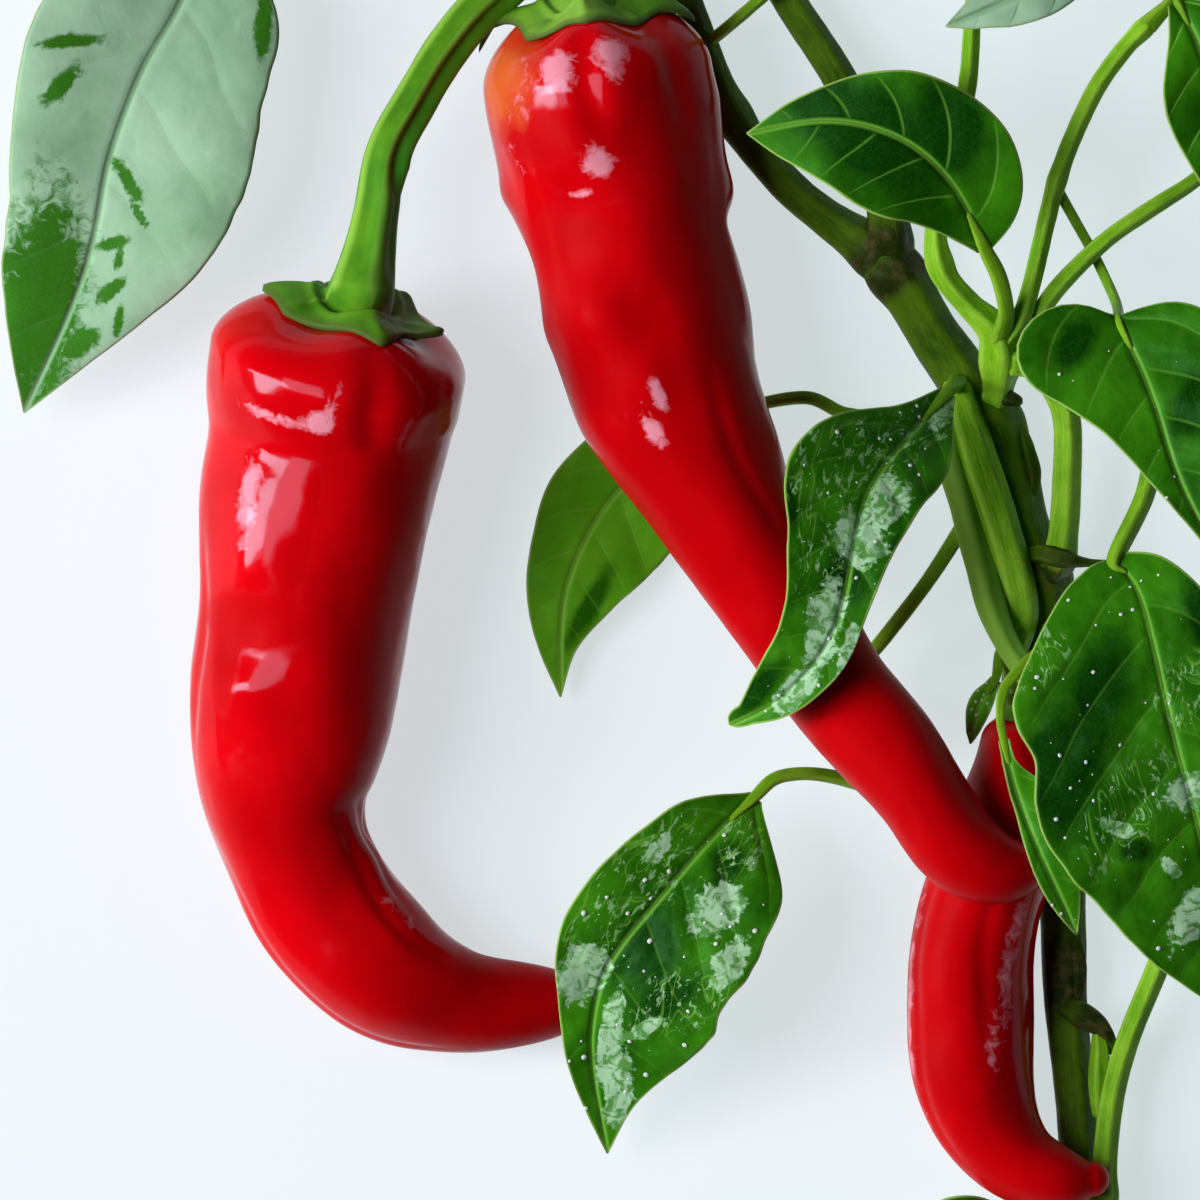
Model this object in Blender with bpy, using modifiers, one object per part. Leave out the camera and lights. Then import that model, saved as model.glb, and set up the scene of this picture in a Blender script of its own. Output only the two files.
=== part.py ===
"""A cut fruiting branch of a chilli pepper plant, lying on the ground.

Points are in millimetres from the middle of the branch: +X across, +Y towards the growing tips and
+Z up from the ground. A limb, fruit or rib is a list of (x, y, z, radius) or (x, y, z) that a smooth
curve goes through. Every stalk stops CLEAR short of the limb that it grows from.
"""

import math

import bmesh
import bpy
from mathutils import Matrix, Vector

MM = 0.001
CLEAR = 0.3                # gap at each joint
PLAN_CENTRE = (8.2, 17.5)  # middle of the branch's plan box, which the object's origin lies under

FINE = 0.15                # step along a path while its ends are cut to length
END_RUN = 6                # how many such steps the first and last runs of a limb take
LIMB_STEP = 5.0            # length of a limb's other runs
STALK_STEP = 4.0
LIMB_SIDES = 2             # bevel resolution: eight sides
STALK_SIDES = 1            # six sides

FRUIT_SIDES = 16
FRUIT_STEP = 5.5           # distance between a fruit's rings
CAP_RINGS = (0.96, 0.88, 0.78, 0.66, 0.54, 0.42, 0.3, 0.18, 0.09)   # the shoulder's rings, as shares
DIMPLE_WIDTH = 0.30
CALYX_RINGS = 6
CALYX_SIDES = 20
CALYX_LOBES = 5
CALYX_GAP = 0.6            # along the fruit's axis, which leaves CLEAR square to the shoulder
CALYX_THICKNESS = 1.1

LEAF_STATIONS = 8          # a leaf's half-widths are given at each eighth of its rib but the ends
BLADE_THICKNESS = 0.75
MARGIN_LIFT = 0.16         # how far the two halves fold up from the rib, as a share of the half-width
TIP_WIDTH = 0.35

FRUITS = {
    "fruit_left": dict(
        axis=[(-34.2, 31.0, 19.8, 17.3), (-35.4, 26.0, 18.2, 16.9), (-36.0, 21.0, 17.1, 15.9),
              (-37.8, 11.0, 16.0, 15.4), (-39.1, 0.0, 15.0, 14.5), (-40.8, -13.0, 14.0, 13.6),
              (-42.0, -21.5, 12.7, 12.4), (-41.6, -29.0, 11.2, 10.9), (-37.4, -39.5, 10.0, 9.8),
              (-29.0, -49.3, 9.5, 9.4), (-19.0, -53.6, 7.5, 7.2), (-9.0, -54.0, 6.2, 5.4),
              (-3.5, -53.7, 5.8, 3.7), (0.5, -53.3, 5.6, 1.6)],
        dome=8.5, dimple=4.2, lobes=3, lobe_size=0.055, turn=0.5),
    "fruit_middle": dict(
        axis=[(-0.3, 69.4, 15.9, 14.7), (0.5, 63.5, 15.4, 15.0), (2.6, 55.0, 15.1, 14.2),
              (4.2, 46.5, 15.3, 13.4), (6.5, 37.0, 16.2, 13.5), (9.0, 27.5, 17.3, 12.3),
              (15.5, 14.0, 18.5, 9.8), (24.0, 0.3, 19.6, 8.2), (30.5, -10.5, 20.8, 7.1),
              (38.0, -19.5, 23.0, 7.0), (42.7, -25.8, 25.2, 6.1), (47.3, -32.6, 26.8, 5.8),
              (52.3, -35.6, 26.8, 5.0), (56.6, -35.6, 26.4, 3.4), (59.0, -35.3, 26.0, 1.4)],
        dome=10.0, dimple=4.4, lobes=4, lobe_size=0.045, turn=0.2),
    "fruit_right": dict(
        axis=[(58.0, -19.8, 15.4, 7.3), (56.8, -25.0, 14.8, 7.6), (54.0, -32.5, 13.0, 7.9),
              (51.3, -39.5, 10.7, 8.1), (49.6, -48.0, 9.0, 8.5), (49.5, -57.0, 8.5, 8.5),
              (50.0, -64.0, 8.2, 8.0), (52.2, -70.5, 8.6, 6.9), (56.2, -75.3, 10.0, 5.6),
              (61.4, -77.3, 11.4, 4.5), (64.6, -77.4, 11.6, 3.0), (66.6, -77.3, 11.6, 1.3)],
        dome=4.6, dimple=2.2, lobes=3, lobe_size=0.05, turn=1.1),
}

CALYXES = {
    "calyx_left": dict(
        fruit="fruit_left", spread=0.74, hub=(4.2, 3.2),
        stalk=[(-30.0, 51.0, 20.6, 2.8), (-28.6, 60.0, 20.0, 2.5), (-25.2, 66.5, 19.0, 2.5),
               (-21.0, 73.5, 17.6, 2.6), (-15.5, 80.0, 16.0, 2.7), (-5.5, 88.0, 13.0, 2.5),
               (5.5, 92.0, 9.0, 2.2)]),
    "calyx_middle": dict(
        fruit="fruit_middle", spread=0.70, hub=(4.6, 3.4),
        stalk=[(-0.6, 84.5, 13.6, 2.8), (2.0, 88.8, 11.2, 2.5), (5.5, 92.0, 8.5, 2.3)]),
    "calyx_right": dict(
        fruit="fruit_right", spread=0.80, hub=(2.4, 2.0),
        stalk=[(57.2, -10.0, 16.6, 1.6), (54.6, -6.4, 15.2, 1.6), (51.6, -1.5, 12.0, 1.6),
               (49.7, 5.0, 8.2, 1.6), (48.0, 12.0, 6.8, 1.6), (45.9, 20.0, 6.4, 1.6),
               (44.9, 26.5, 5.8, 1.7), (45.6, 32.0, 4.5, 1.8)]),
}

LIMBS = {
    "main_stem": dict(
        path=[(65.0, -92.0, 3.0, 3.0), (64.5, -82.0, 2.8, 2.8), (63.5, -66.5, 2.8, 2.7),
              (62.2, -53.5, 2.9, 2.9), (61.8, -42.0, 3.2, 3.1), (60.8, -27.0, 3.4, 3.3),
              (57.5, -12.0, 3.6, 3.5), (58.6, 1.5, 3.9, 3.8), (56.0, 10.5, 3.9, 3.8),
              (53.4, 21.0, 3.9, 3.6), (48.6, 29.5, 4.0, 3.7), (44.5, 35.5, 4.2, 3.5),
              (41.0, 41.4, 4.4, 3.4), (38.6, 44.6, 4.6, 3.4)]),
    "left_bough": dict(
        path=[(36.2, 46.8, 4.6, 3.1), (29.8, 51.4, 4.5, 2.5), (24.5, 56.0, 4.2, 2.4),
              (18.4, 63.6, 3.8, 2.4), (15.8, 69.0, 3.8, 2.1), (13.5, 75.0, 4.2, 2.0),
              (11.0, 82.0, 5.2, 1.9), (8.2, 88.0, 6.8, 2.0), (5.0, 93.0, 8.0, 2.4)],
        after="main_stem"),
    "right_bough": dict(
        path=[(38.6, 47.0, 5.2, 3.0), (38.2, 52.0, 7.5, 2.6), (35.6, 60.0, 8.0, 2.4),
              (32.0, 69.5, 7.0, 2.3), (25.3, 80.0, 5.5, 2.2), (20.5, 88.0, 4.8, 2.0),
              (17.8, 95.0, 4.8, 1.6)]),
    "bough_twig": dict(
        path=[(13.8, 74.0, 4.2, 0.8), (17.5, 77.0, 7.5, 0.8), (22.0, 80.8, 10.6, 0.8),
              (27.0, 85.0, 12.0, 0.7)], thin=True),
    "upper_shoot": dict(
        path=[(52.6, 25.5, 5.0, 2.0), (53.4, 31.5, 11.0, 2.1), (52.6, 36.0, 14.0, 2.2),
              (49.2, 39.4, 15.2, 1.7), (45.6, 44.0, 16.2, 1.6), (44.8, 50.5, 17.0, 1.4),
              (47.2, 60.0, 17.2, 1.3), (49.0, 69.0, 17.2, 1.2), (49.6, 77.5, 16.6, 1.1),
              (50.0, 86.0, 16.4, 1.0)]),
    "curved_shoot": dict(
        path=[(53.6, 34.0, 13.6, 1.5), (56.0, 37.5, 15.2, 1.3), (57.8, 43.5, 16.4, 1.2),
              (61.0, 56.5, 18.2, 1.2), (65.4, 67.0, 19.8, 1.2), (69.4, 73.0, 20.6, 1.2),
              (73.4, 77.2, 21.0, 1.1)]),
    "right_shoot": dict(
        path=[(54.0, 33.0, 12.6, 1.4), (57.5, 37.0, 12.6, 1.2), (61.6, 42.4, 12.6, 1.2),
              (67.4, 48.0, 12.6, 1.1), (73.4, 52.2, 12.6, 1.1), (79.0, 55.8, 12.4, 1.0),
              (84.0, 60.0, 12.0, 0.9)]),
    "pale_shoot": dict(
        path=[(59.0, 2.5, 5.0, 2.1), (61.4, 6.5, 9.0, 2.0), (62.2, 16.0, 11.2, 1.9),
              (62.0, 25.0, 12.2, 1.8), (58.6, 30.4, 12.6, 1.6), (54.0, 32.6, 12.4, 1.6)],
        end="upper_shoot"),
    "front_strand": dict(
        path=[(56.6, -12.5, 4.5, 1.6), (55.0, -8.0, 9.0, 1.8), (55.0, -1.0, 9.4, 1.9),
              (52.4, 9.5, 9.0, 1.9), (49.4, 19.0, 9.0, 1.9), (47.2, 25.5, 8.4, 1.8),
              (46.8, 31.5, 4.5, 1.6)],
        end="main_stem"),
    "lower_shoot": dict(
        path=[(65.0, -87.5, 4.0, 1.8), (67.0, -81.0, 6.4, 1.7), (67.6, -73.0, 6.4, 1.6),
              (68.6, -65.5, 6.4, 1.6), (70.8, -58.0, 7.0, 1.5), (74.6, -48.5, 9.4, 1.5),
              (78.6, -38.0, 11.6, 1.3)]),
}

LEAVES = {
    "leaf_top_left": dict(
        rib=[(-52.0, 92.0, 13.0), (-55.6, 80.0, 15.0), (-61.0, 70.8, 16.5), (-65.7, 58.0, 17.0),
             (-67.0, 50.0, 16.5), (-70.0, 40.0, 14.0), (-77.0, 25.0, 7.0)],
        left=(12, 15.5, 18, 18.5, 15.5, 9.5, 4.5), right=(13, 16, 15.5, 13.5, 12, 10.5, 6),
        stalk=[(5.5, 92.5, 9.0, 1.3), (-2.0, 98.0, 12.0, 1.1), (-20.0, 101.0, 14.0, 1.0),
               (-40.0, 98.0, 13.5, 1.0), (-52.0, 92.0, 13.0, 0.9)], shade="pale"),
    "leaf_behind_middle": dict(
        rib=[(19.0, 25.5, 3.0), (10.5, 21.5, 2.6), (1.3, 13.3, 2.6), (-4.7, 1.3, 4.5),
             (-5.3, -13.0, 3.0)],
        left=(7, 9.5, 10.5, 10.5, 9, 6, 2), right=(4.5, 7, 8, 8, 6.5, 5, 3),
        stalk=[(46.0, 27.0, 4.5, 1.0), (40.0, 24.6, 4.6, 0.9), (33.0, 24.8, 4.4, 0.9),
               (27.5, 27.0, 4.0, 0.9), (19.0, 25.5, 3.0, 0.8)], lift=0.0, shade="young"),
    "leaf_front_middle": dict(
        rib=[(46.4, 27.7, 15.0), (40.7, 21.3, 23.5), (35.6, 14.7, 29.5), (33.3, 5.3, 33.0),
             (31.0, -4.7, 33.5), (24.0, -13.2, 31.5), (17.2, -16.6, 27.5)],
        left=(5, 7.5, 7, 5, 3.5, 3.5, 2.5), right=(3.5, 9, 11.5, 9.5, 8, 6.5, 4.5),
        stalk=[(50.5, 36.5, 15.0, 1.1), (48.6, 32.5, 13.5, 1.0), (46.4, 27.7, 15.0, 0.9)],
        shade="dark"),
    "leaf_low_centre": dict(
        rib=[(20.7, -26.3, 14.5), (15.0, -31.5, 16.8), (8.5, -39.2, 17.8), (3.6, -45.0, 17.4),
             (0.3, -50.0, 16.4), (-1.3, -60.0, 13.0), (1.0, -74.0, 7.0)],
        left=(11.5, 14.5, 16, 16, 16, 12.5, 5), right=(6, 8, 9, 8, 5, 3.5, 2),
        stalk=[(60.8, -26.5, 3.6, 1.1), (51.0, -27.0, 3.2, 1.0), (42.5, -27.6, 6.0, 1.0),
               (34.7, -24.6, 10.0, 1.0), (28.5, -23.3, 12.4, 0.9), (23.6, -23.8, 13.8, 0.9),
               (20.7, -26.3, 14.5, 0.8)], shade="dark"),
    "leaf_over_fork": dict(
        rib=[(51.1, 46.8, 24.0), (47.3, 54.7, 27.0), (40.7, 61.0, 28.5), (30.7, 63.8, 28.0),
             (19.5, 62.0, 24.5)],
        left=(4.5, 7.5, 10, 10.5, 9.5, 7.5, 4.5), right=(7.5, 10, 10, 9, 7, 4.5, 2.5),
        stalk=[(53.2, 35.0, 14.5, 1.3), (54.0, 38.5, 18.0, 1.1), (53.0, 43.0, 21.5, 1.1),
               (51.1, 46.8, 24.0, 0.9)], shade="dark"),
    "leaf_top": dict(
        rib=[(66.7, 85.3, 20.5), (57.3, 81.0, 22.5), (46.0, 76.3, 21.0)],
        left=(2.5, 3.5, 4, 4, 3.5, 2.5, 1.5), right=(3, 4.5, 5, 5, 4.5, 3, 1.5),
        stalk=[(50.0, 85.0, 16.5, 1.0), (51.0, 90.5, 17.0, 0.9), (58.0, 93.5, 19.0, 0.8),
               (65.0, 91.0, 20.5, 0.8), (66.7, 85.3, 20.5, 0.7)], shade="pale"),
    "leaf_top_right": dict(
        rib=[(76.6, 79.8, 21.3), (79.6, 74.0, 24.0), (82.5, 62.5, 24.5), (85.5, 48.5, 20.0)],
        left=(6, 8, 9, 8.5, 7, 5, 2.5), right=(3, 5, 6.5, 6.5, 5.5, 4, 2),
        stalk=[(72.8, 76.6, 21.0, 1.1), (75.2, 78.8, 21.2, 1.0), (76.6, 79.8, 21.3, 0.9)], shade="dark"),
    "leaf_right": dict(
        rib=[(68.7, 37.3, 25.0), (71.9, 30.7, 28.0), (74.0, 25.0, 30.0), (76.7, 16.0, 32.0),
             (83.0, 3.7, 33.0)],
        left=(10, 13, 13.5, 12.5, 11.5, 9, 5), right=(13.5, 11.5, 8, 5.5, 3.5, 2, 1),
        stalk=[(61.7, 53.0, 18.0, 0.9), (66.0, 47.5, 20.5, 0.8), (69.6, 41.5, 23.0, 0.8),
               (68.7, 37.3, 25.0, 0.8)], shade="dark"),
    "leaf_big_right": dict(
        rib=[(68.3, 5.1, 27.5), (71.1, 2.5, 30.0), (73.4, -6.3, 34.5), (76.1, -18.5, 36.0),
             (80.0, -33.3, 34.0), (83.3, -55.0, 24.0)],
        left=(7, 10.5, 12, 12.5, 10.5, 8, 5), right=(12.5, 20, 19, 20.5, 18, 13.5, 8),
        stalk=[(56.0, 32.5, 14.0, 1.6), (62.5, 31.0, 16.0, 1.4), (69.0, 27.8, 19.0, 1.3),
               (73.2, 22.0, 21.5, 1.3), (72.6, 14.5, 24.0, 1.3), (68.3, 5.1, 27.5, 1.1)],
        lift=0.05, shade="dark"),
    "leaf_narrow": dict(
        rib=[(55.0, -11.0, 23.0), (55.0, -20.0, 27.5), (57.5, -31.5, 31.0), (61.0, -39.0, 30.5),
             (63.5, -45.0, 28.0)],
        left=(1.5, 3, 4, 4.5, 4.5, 3.5, 2), right=(1, 2, 2.5, 3, 3, 2.5, 1.5),
        stalk=[(58.8, -3.5, 4.5, 1.0), (60.2, -4.5, 10.5, 0.9), (59.6, -6.0, 17.5, 0.9),
               (57.0, -8.6, 21.5, 0.8), (55.0, -11.0, 23.0, 0.7)], shade="young"),
    "leaf_by_stem": dict(
        rib=[(53.2, -9.0, 13.0), (50.6, -13.0, 14.0), (49.6, -18.0, 13.0)],
        left=(1, 1.4, 1.6, 1.6, 1.4, 1.1, 0.7), right=(1, 1.4, 1.6, 1.6, 1.4, 1.1, 0.7),
        stalk=[(55.0, -4.8, 9.3, 0.8), (53.4, -6.6, 11.0, 0.7), (53.2, -9.0, 13.0, 0.6)],
        shade="young"),
    "leaf_lower_right": dict(
        rib=[(79.6, -34.0, 12.4), (82.0, -27.0, 13.5), (84.5, -19.0, 13.0), (86.0, -11.0, 11.0)],
        left=(2.5, 4, 5, 5, 4.5, 3, 1.5), right=(2.5, 4, 5, 5, 4.5, 3, 1.5),
        stalk=[(78.4, -38.4, 11.6, 1.2), (79.6, -34.0, 12.4, 0.8)], shade="dark"),
    "leaf_bottom": dict(
        rib=[(59.0, -86.0, 4.5), (53.0, -85.0, 6.5), (45.0, -85.5, 7.0), (36.0, -89.0, 4.0)],
        left=(2.5, 4, 5, 5, 4.5, 3, 1.5), right=(2.5, 4.5, 5.5, 5.5, 4.5, 3, 1.5),
        stalk=[(64.8, -88.5, 3.2, 1.0), (62.0, -87.5, 4.0, 0.9), (59.0, -86.0, 4.5, 0.7)],
        shade="dark"),
    "leaf_under_middle": dict(
        rib=[(34.6, -9.4, 5.4), (34.4, -12.6, 5.6), (37.4, -17.4, 6.0), (42.2, -22.0, 6.6)],
        left=(1.5, 2.5, 3, 3, 2.6, 1.8, 1), right=(1.5, 2.5, 3, 3, 2.6, 1.8, 1),
        stalk=[(48.8, 10.0, 8.0, 1.1), (44.0, 2.6, 6.0, 1.0), (38.2, -5.0, 5.4, 1.0),
               (34.6, -9.4, 5.4, 0.8)], lift=0.0, shade="young"),
    "leaf_right_shoot": dict(
        rib=[(84.6, 60.6, 12.0), (88.5, 66.0, 13.5), (91.0, 73.0, 13.5), (92.0, 82.0, 10.5)],
        left=(3, 5, 6, 6, 5, 3.5, 1.5), right=(3, 5, 6, 6, 5, 3.5, 1.5),
        stalk=[(83.6, 59.6, 12.0, 0.9), (84.6, 60.6, 12.0, 0.8)], shade="dark"),
    "leaf_left_bough": dict(
        rib=[(27.6, 85.6, 12.2), (32.5, 90.5, 13.0), (37.0, 98.0, 12.5), (39.5, 107.0, 9.5)],
        left=(3, 5, 6.5, 6.5, 5.5, 3.5, 1.5), right=(3, 5, 6.5, 6.5, 5.5, 3.5, 1.5),
        stalk=[(26.6, 84.6, 12.0, 0.7), (27.6, 85.6, 12.2, 0.6)], shade="young"),
    "leaf_right_bough": dict(
        rib=[(16.6, 98.0, 5.2), (14.5, 106.0, 8.0), (14.0, 116.0, 9.0), (17.0, 127.0, 6.0)],
        left=(5, 8, 9.5, 9.5, 8, 5.5, 2.5), right=(5, 8, 9.5, 9.5, 8, 5.5, 2.5),
        stalk=[(18.2, 93.6, 4.8, 1.4), (16.6, 98.0, 5.2, 0.9)], shade="dark"),
}

COLOURS = {      # linear colour, roughness
    "fruit": ((0.62, 0.0, 0.003), 0.18),
    "calyx": ((0.10, 0.24, 0.02), 0.45),
    "stem": ((0.07, 0.13, 0.01), 0.55),
    "shoot": ((0.19, 0.34, 0.03), 0.45),
    "dark leaf": ((0.02, 0.13, 0.008), 0.30),
    "young leaf": ((0.07, 0.25, 0.02), 0.35),
    "pale leaf": ((0.16, 0.33, 0.14), 0.35),
}
OLD_WOOD = ("main_stem", "left_bough", "right_bough")


def smooth_path(points, step=0.5):
    """A smooth curve through the points, as Vectors of every number that a point has."""
    ends = [[2 * a - b for a, b in zip(points[0], points[1])],
            [2 * a - b for a, b in zip(points[-1], points[-2])]]
    knots = [ends[0], *points, ends[1]]
    found = []
    for p0, p1, p2, p3 in zip(knots, knots[1:], knots[2:], knots[3:]):
        runs = max(2, math.ceil(math.dist(p1[:3], p2[:3]) / step))
        for i in range(runs):
            t = i / runs
            found.append([
                b + 0.5 * t * (c - a + t * (2 * a - 5 * b + 4 * c - d + t * (3 * (b - c) + d - a)))
                for a, b, c, d in zip(p0, p1, p2, p3)
            ])
    found.append(list(points[-1]))
    return found


def spaced(path, step):
    """The path again with its points evenly spaced, about step apart."""
    lengths = [0.0]
    for a, b in zip(path, path[1:]):
        lengths.append(lengths[-1] + math.dist(a[:3], b[:3]))
    count = max(2, round(lengths[-1] / step))
    found, i = [], 0
    for k in range(count + 1):
        at = lengths[-1] * k / count
        while i < len(path) - 2 and lengths[i + 1] < at:
            i += 1
        share = (at - lengths[i]) / max(lengths[i + 1] - lengths[i], 1e-9)
        found.append([a + (b - a) * share for a, b in zip(path[i], path[i + 1])])
    return found


def runs_of(path, step):
    """The path in straight runs, with a short one at each end so that the flat ends face along it."""
    runs = spaced(path, step)
    return [runs[0], path[END_RUN], *runs[1:-1], path[-1 - END_RUN], runs[-1]]


def past_end(point, end, before):
    """How far a point lies past a limb's flat end, or None where it isn't just past it."""
    offset = Vector(point) - Vector(end[:3])
    ahead = offset.dot((Vector(end[:3]) - Vector(before[:3])).normalized())
    if ahead < 0 or offset.length > 2 * end[3] + 2 * CLEAR:
        return None
    aside = math.sqrt(max(0.0, offset.length_squared - ahead * ahead))
    return math.hypot(ahead, max(0.0, aside - end[3]))


def gap_to(point, limb):
    """How far a point lies outside a limb's straight tapering runs."""
    for end, before in ((limb[0], limb[1]), (limb[-1], limb[-2])):
        past = past_end(point, end, before)
        if past is not None:
            return past
    best = math.inf
    for a, b in zip(limb, limb[1:]):
        run = [q - p for p, q in zip(a[:3], b[:3])]
        size = sum(c * c for c in run)
        share = sum((p - q) * c for p, q, c in zip(point, a, run)) / size
        share = min(1.0, max(0.0, share))
        near = [p + c * share for p, c in zip(a, run)]
        best = min(best, math.dist(point, near) - a[3] - (b[3] - a[3]) * share)
    return best


def rim(path, i):
    """Points round the flat end that the limb has when it starts at its point i."""
    centre, radius = Vector(path[i][:3]), path[i][3]
    along = (Vector(path[min(i + 4, len(path) - 1)][:3]) - centre).normalized()
    across = along.orthogonal().normalized()
    other = along.cross(across)
    turns = [math.tau * k / 12 for k in range(12)]
    return [centre] + [centre + radius * (math.cos(a) * across + math.sin(a) * other) for a in turns]


def started_clear(path, limbs, reach=14.0):
    """The path without the stretch at its start that is inside a limb or within CLEAR of one."""
    first, run = 0, 0.0
    for i in range(len(path) - 6):
        run += math.dist(path[i][:3], path[i + 1][:3])
        if run > reach:
            break
        spots = rim(path, i)
        if any(gap_to(spot, limb) < CLEAR for limb in limbs for spot in spots):
            first = i + 1
    return path[first:]


def up_to_joint(points, after=()):
    """The limb's smooth path, ending in the direction in which the limb after it goes on."""
    path = smooth_path([*points, *after], FINE)
    ends = [i for i, point in enumerate(path) if math.dist(point[:3], points[-1][:3]) < FINE / 10]
    return path[:ends[-1] + 1]


def continued(points, after):
    """The path of a limb that goes on from the flat end of another, CLEAR past it."""
    path = smooth_path([*points, *after], FINE)
    joint = len(up_to_joint(points, after)) - 1
    return path[joint + math.ceil(CLEAR / FINE):]


def frame_at(path, i):
    """The curve's direction at a point, and the two directions square to it: level, and upwards."""
    before, after = path[max(i - 1, 0)], path[min(i + 1, len(path) - 1)]
    along = (Vector(after[:3]) - Vector(before[:3])).normalized()
    level = along.cross(Vector((0, 0, 1))).normalized()
    return along, level, level.cross(along)


def girth(fruit, far, turn):
    """How much wider than round the fruit is, far along it from its shoulder: lobes, then soft waves."""
    lobes = fruit["lobe_size"] * math.exp(-far / 28) * math.cos(fruit["lobes"] * turn + fruit["turn"])
    return 1 + lobes + 0.016 * math.sin(2 * turn + far / 6) + 0.012 * math.sin(3 * turn - far / 4)


def cap_point(fruit, share, turn, lift=0.0):
    """A point on the fruit's domed shoulder, share of the way out, raised by lift along its axis."""
    path = fruit["axis"]
    along, level, upward = frame_at(path, 0)
    radius = share * path[0][3] * girth(fruit, 0, turn)
    height = fruit["dome"] * math.sqrt(1 - share * share)
    height -= fruit["dimple"] * math.exp(-((share / DIMPLE_WIDTH) ** 2))
    across = radius * (math.cos(turn) * level + math.sin(turn) * upward)
    return Vector(path[0][:3]) + across - (height + lift) * along


def finish(name, mesh, material, smooth=True):
    """Adds a finished mesh, which is in millimetres, to the branch."""
    mesh.transform(Matrix.Scale(MM, 4))
    obj = bpy.data.objects.new(name, mesh)
    mesh.materials.clear()
    mesh.materials.append(material)
    if smooth:
        mesh.shade_smooth()
    branch.objects.link(obj)
    obj.parent = origin
    return obj


def mesh_of(rings, start, end):
    """A closed mesh through the rings, each a list of points, with a point closing each end."""
    shape = bmesh.new()
    rows = [[shape.verts.new(point) for point in ring] for ring in rings]
    for row, after in zip(rows, rows[1:]):
        for k in range(len(row)):
            j = (k + 1) % len(row)
            shape.faces.new((row[k], row[j], after[j], after[k]))
    for row, tip in ((rows[0], shape.verts.new(start)), (rows[-1], shape.verts.new(end))):
        for k in range(len(row)):
            shape.faces.new((row[k - 1], row[k], tip))
    return closed_mesh(shape)


def closed_mesh(shape):
    bmesh.ops.recalc_face_normals(shape, faces=shape.faces[:])
    mesh = bpy.data.meshes.new("shape")
    shape.to_mesh(mesh)
    shape.free()
    return mesh


def fruit_mesh(fruit):
    """Rings over the domed shoulder, then round the curved axis to the tip."""
    turns = [math.tau * k / FRUIT_SIDES for k in range(FRUIT_SIDES)]
    rings = [[cap_point(fruit, share, turn) for turn in turns] for share in reversed(CAP_RINGS)]
    path = spaced(smooth_path(fruit["axis"]), FRUIT_STEP)
    for i, (x, y, z, radius) in enumerate(path):
        _, level, upward = frame_at(path, i)
        if i == 0:
            _, level, upward = frame_at(fruit["axis"], 0)
        far = i * FRUIT_STEP
        rings.append([
            Vector((x, y, z)) + radius * girth(fruit, far, turn)
            * (math.cos(turn) * level + math.sin(turn) * upward)
            for turn in turns
        ])
    along, _, _ = frame_at(path, len(path) - 1)
    tip = Vector(path[-1][:3]) + 0.8 * path[-1][3] * along
    return mesh_of(rings, cap_point(fruit, 0, 0), tip)


def calyx_mesh(calyx):
    """A pointed cap over the fruit's shoulder, thick at its hub, with its edge cut into lobes."""
    fruit = FRUITS[calyx["fruit"]]
    hub_radius, hub_height = calyx["hub"]
    outer, under = [], []
    for k in range(1, CALYX_RINGS + 1):
        upper_ring, under_ring = [], []
        for j in range(CALYX_SIDES):
            turn = math.tau * j / CALYX_SIDES
            reach = calyx["spread"] * (0.84 + 0.16 * math.cos(CALYX_LOBES * turn))
            share = reach * k / CALYX_RINGS
            hub = hub_height * math.exp(-((share * fruit["axis"][0][3] / hub_radius) ** 2))
            under_ring.append(cap_point(fruit, share, turn, CALYX_GAP))
            upper_ring.append(cap_point(fruit, share, turn, CALYX_GAP + CALYX_THICKNESS + hub))
        outer.append(upper_ring)
        under.append(under_ring)
    top = cap_point(fruit, 0, 0, CALYX_GAP + CALYX_THICKNESS + hub_height)
    return mesh_of(outer + under[::-1], top, cap_point(fruit, 0, 0, CALYX_GAP))


def tube_mesh(path, sides):
    """A tapering tube with flat ends, as a mesh with its caps joined on."""
    curve = bpy.data.curves.new("tube", "CURVE")
    curve.dimensions = "3D"
    curve.bevel_depth = 1.0
    curve.bevel_resolution = sides
    curve.use_fill_caps = True
    spline = curve.splines.new("POLY")
    spline.points.add(len(path) - 1)
    for point, (x, y, z, radius) in zip(spline.points, path):
        point.co = (x, y, z, 1)
        point.radius = radius
    tube = bpy.data.objects.new("tube", curve)
    bpy.context.scene.collection.objects.link(tube)
    mesh = evaluated_mesh(tube)
    bpy.data.objects.remove(tube)
    shape = bmesh.new()
    shape.from_mesh(mesh)
    bmesh.ops.remove_doubles(shape, verts=shape.verts[:], dist=0.001)
    bpy.data.meshes.remove(mesh)
    return closed_mesh(shape)


def evaluated_mesh(obj):
    graph = bpy.context.evaluated_depsgraph_get()
    return bpy.data.meshes.new_from_object(obj.evaluated_get(graph))


def fused(main, other):
    """Both meshes as one closed body."""
    whole = bpy.data.objects.new("whole", main)
    piece = bpy.data.objects.new("piece", other)
    for obj in (whole, piece):
        bpy.context.scene.collection.objects.link(obj)
    join = whole.modifiers.new("join", "BOOLEAN")
    join.operation = "UNION"
    join.object = piece
    mesh = evaluated_mesh(whole)
    for obj in (whole, piece):
        bpy.data.objects.remove(obj)
    return mesh


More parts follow.
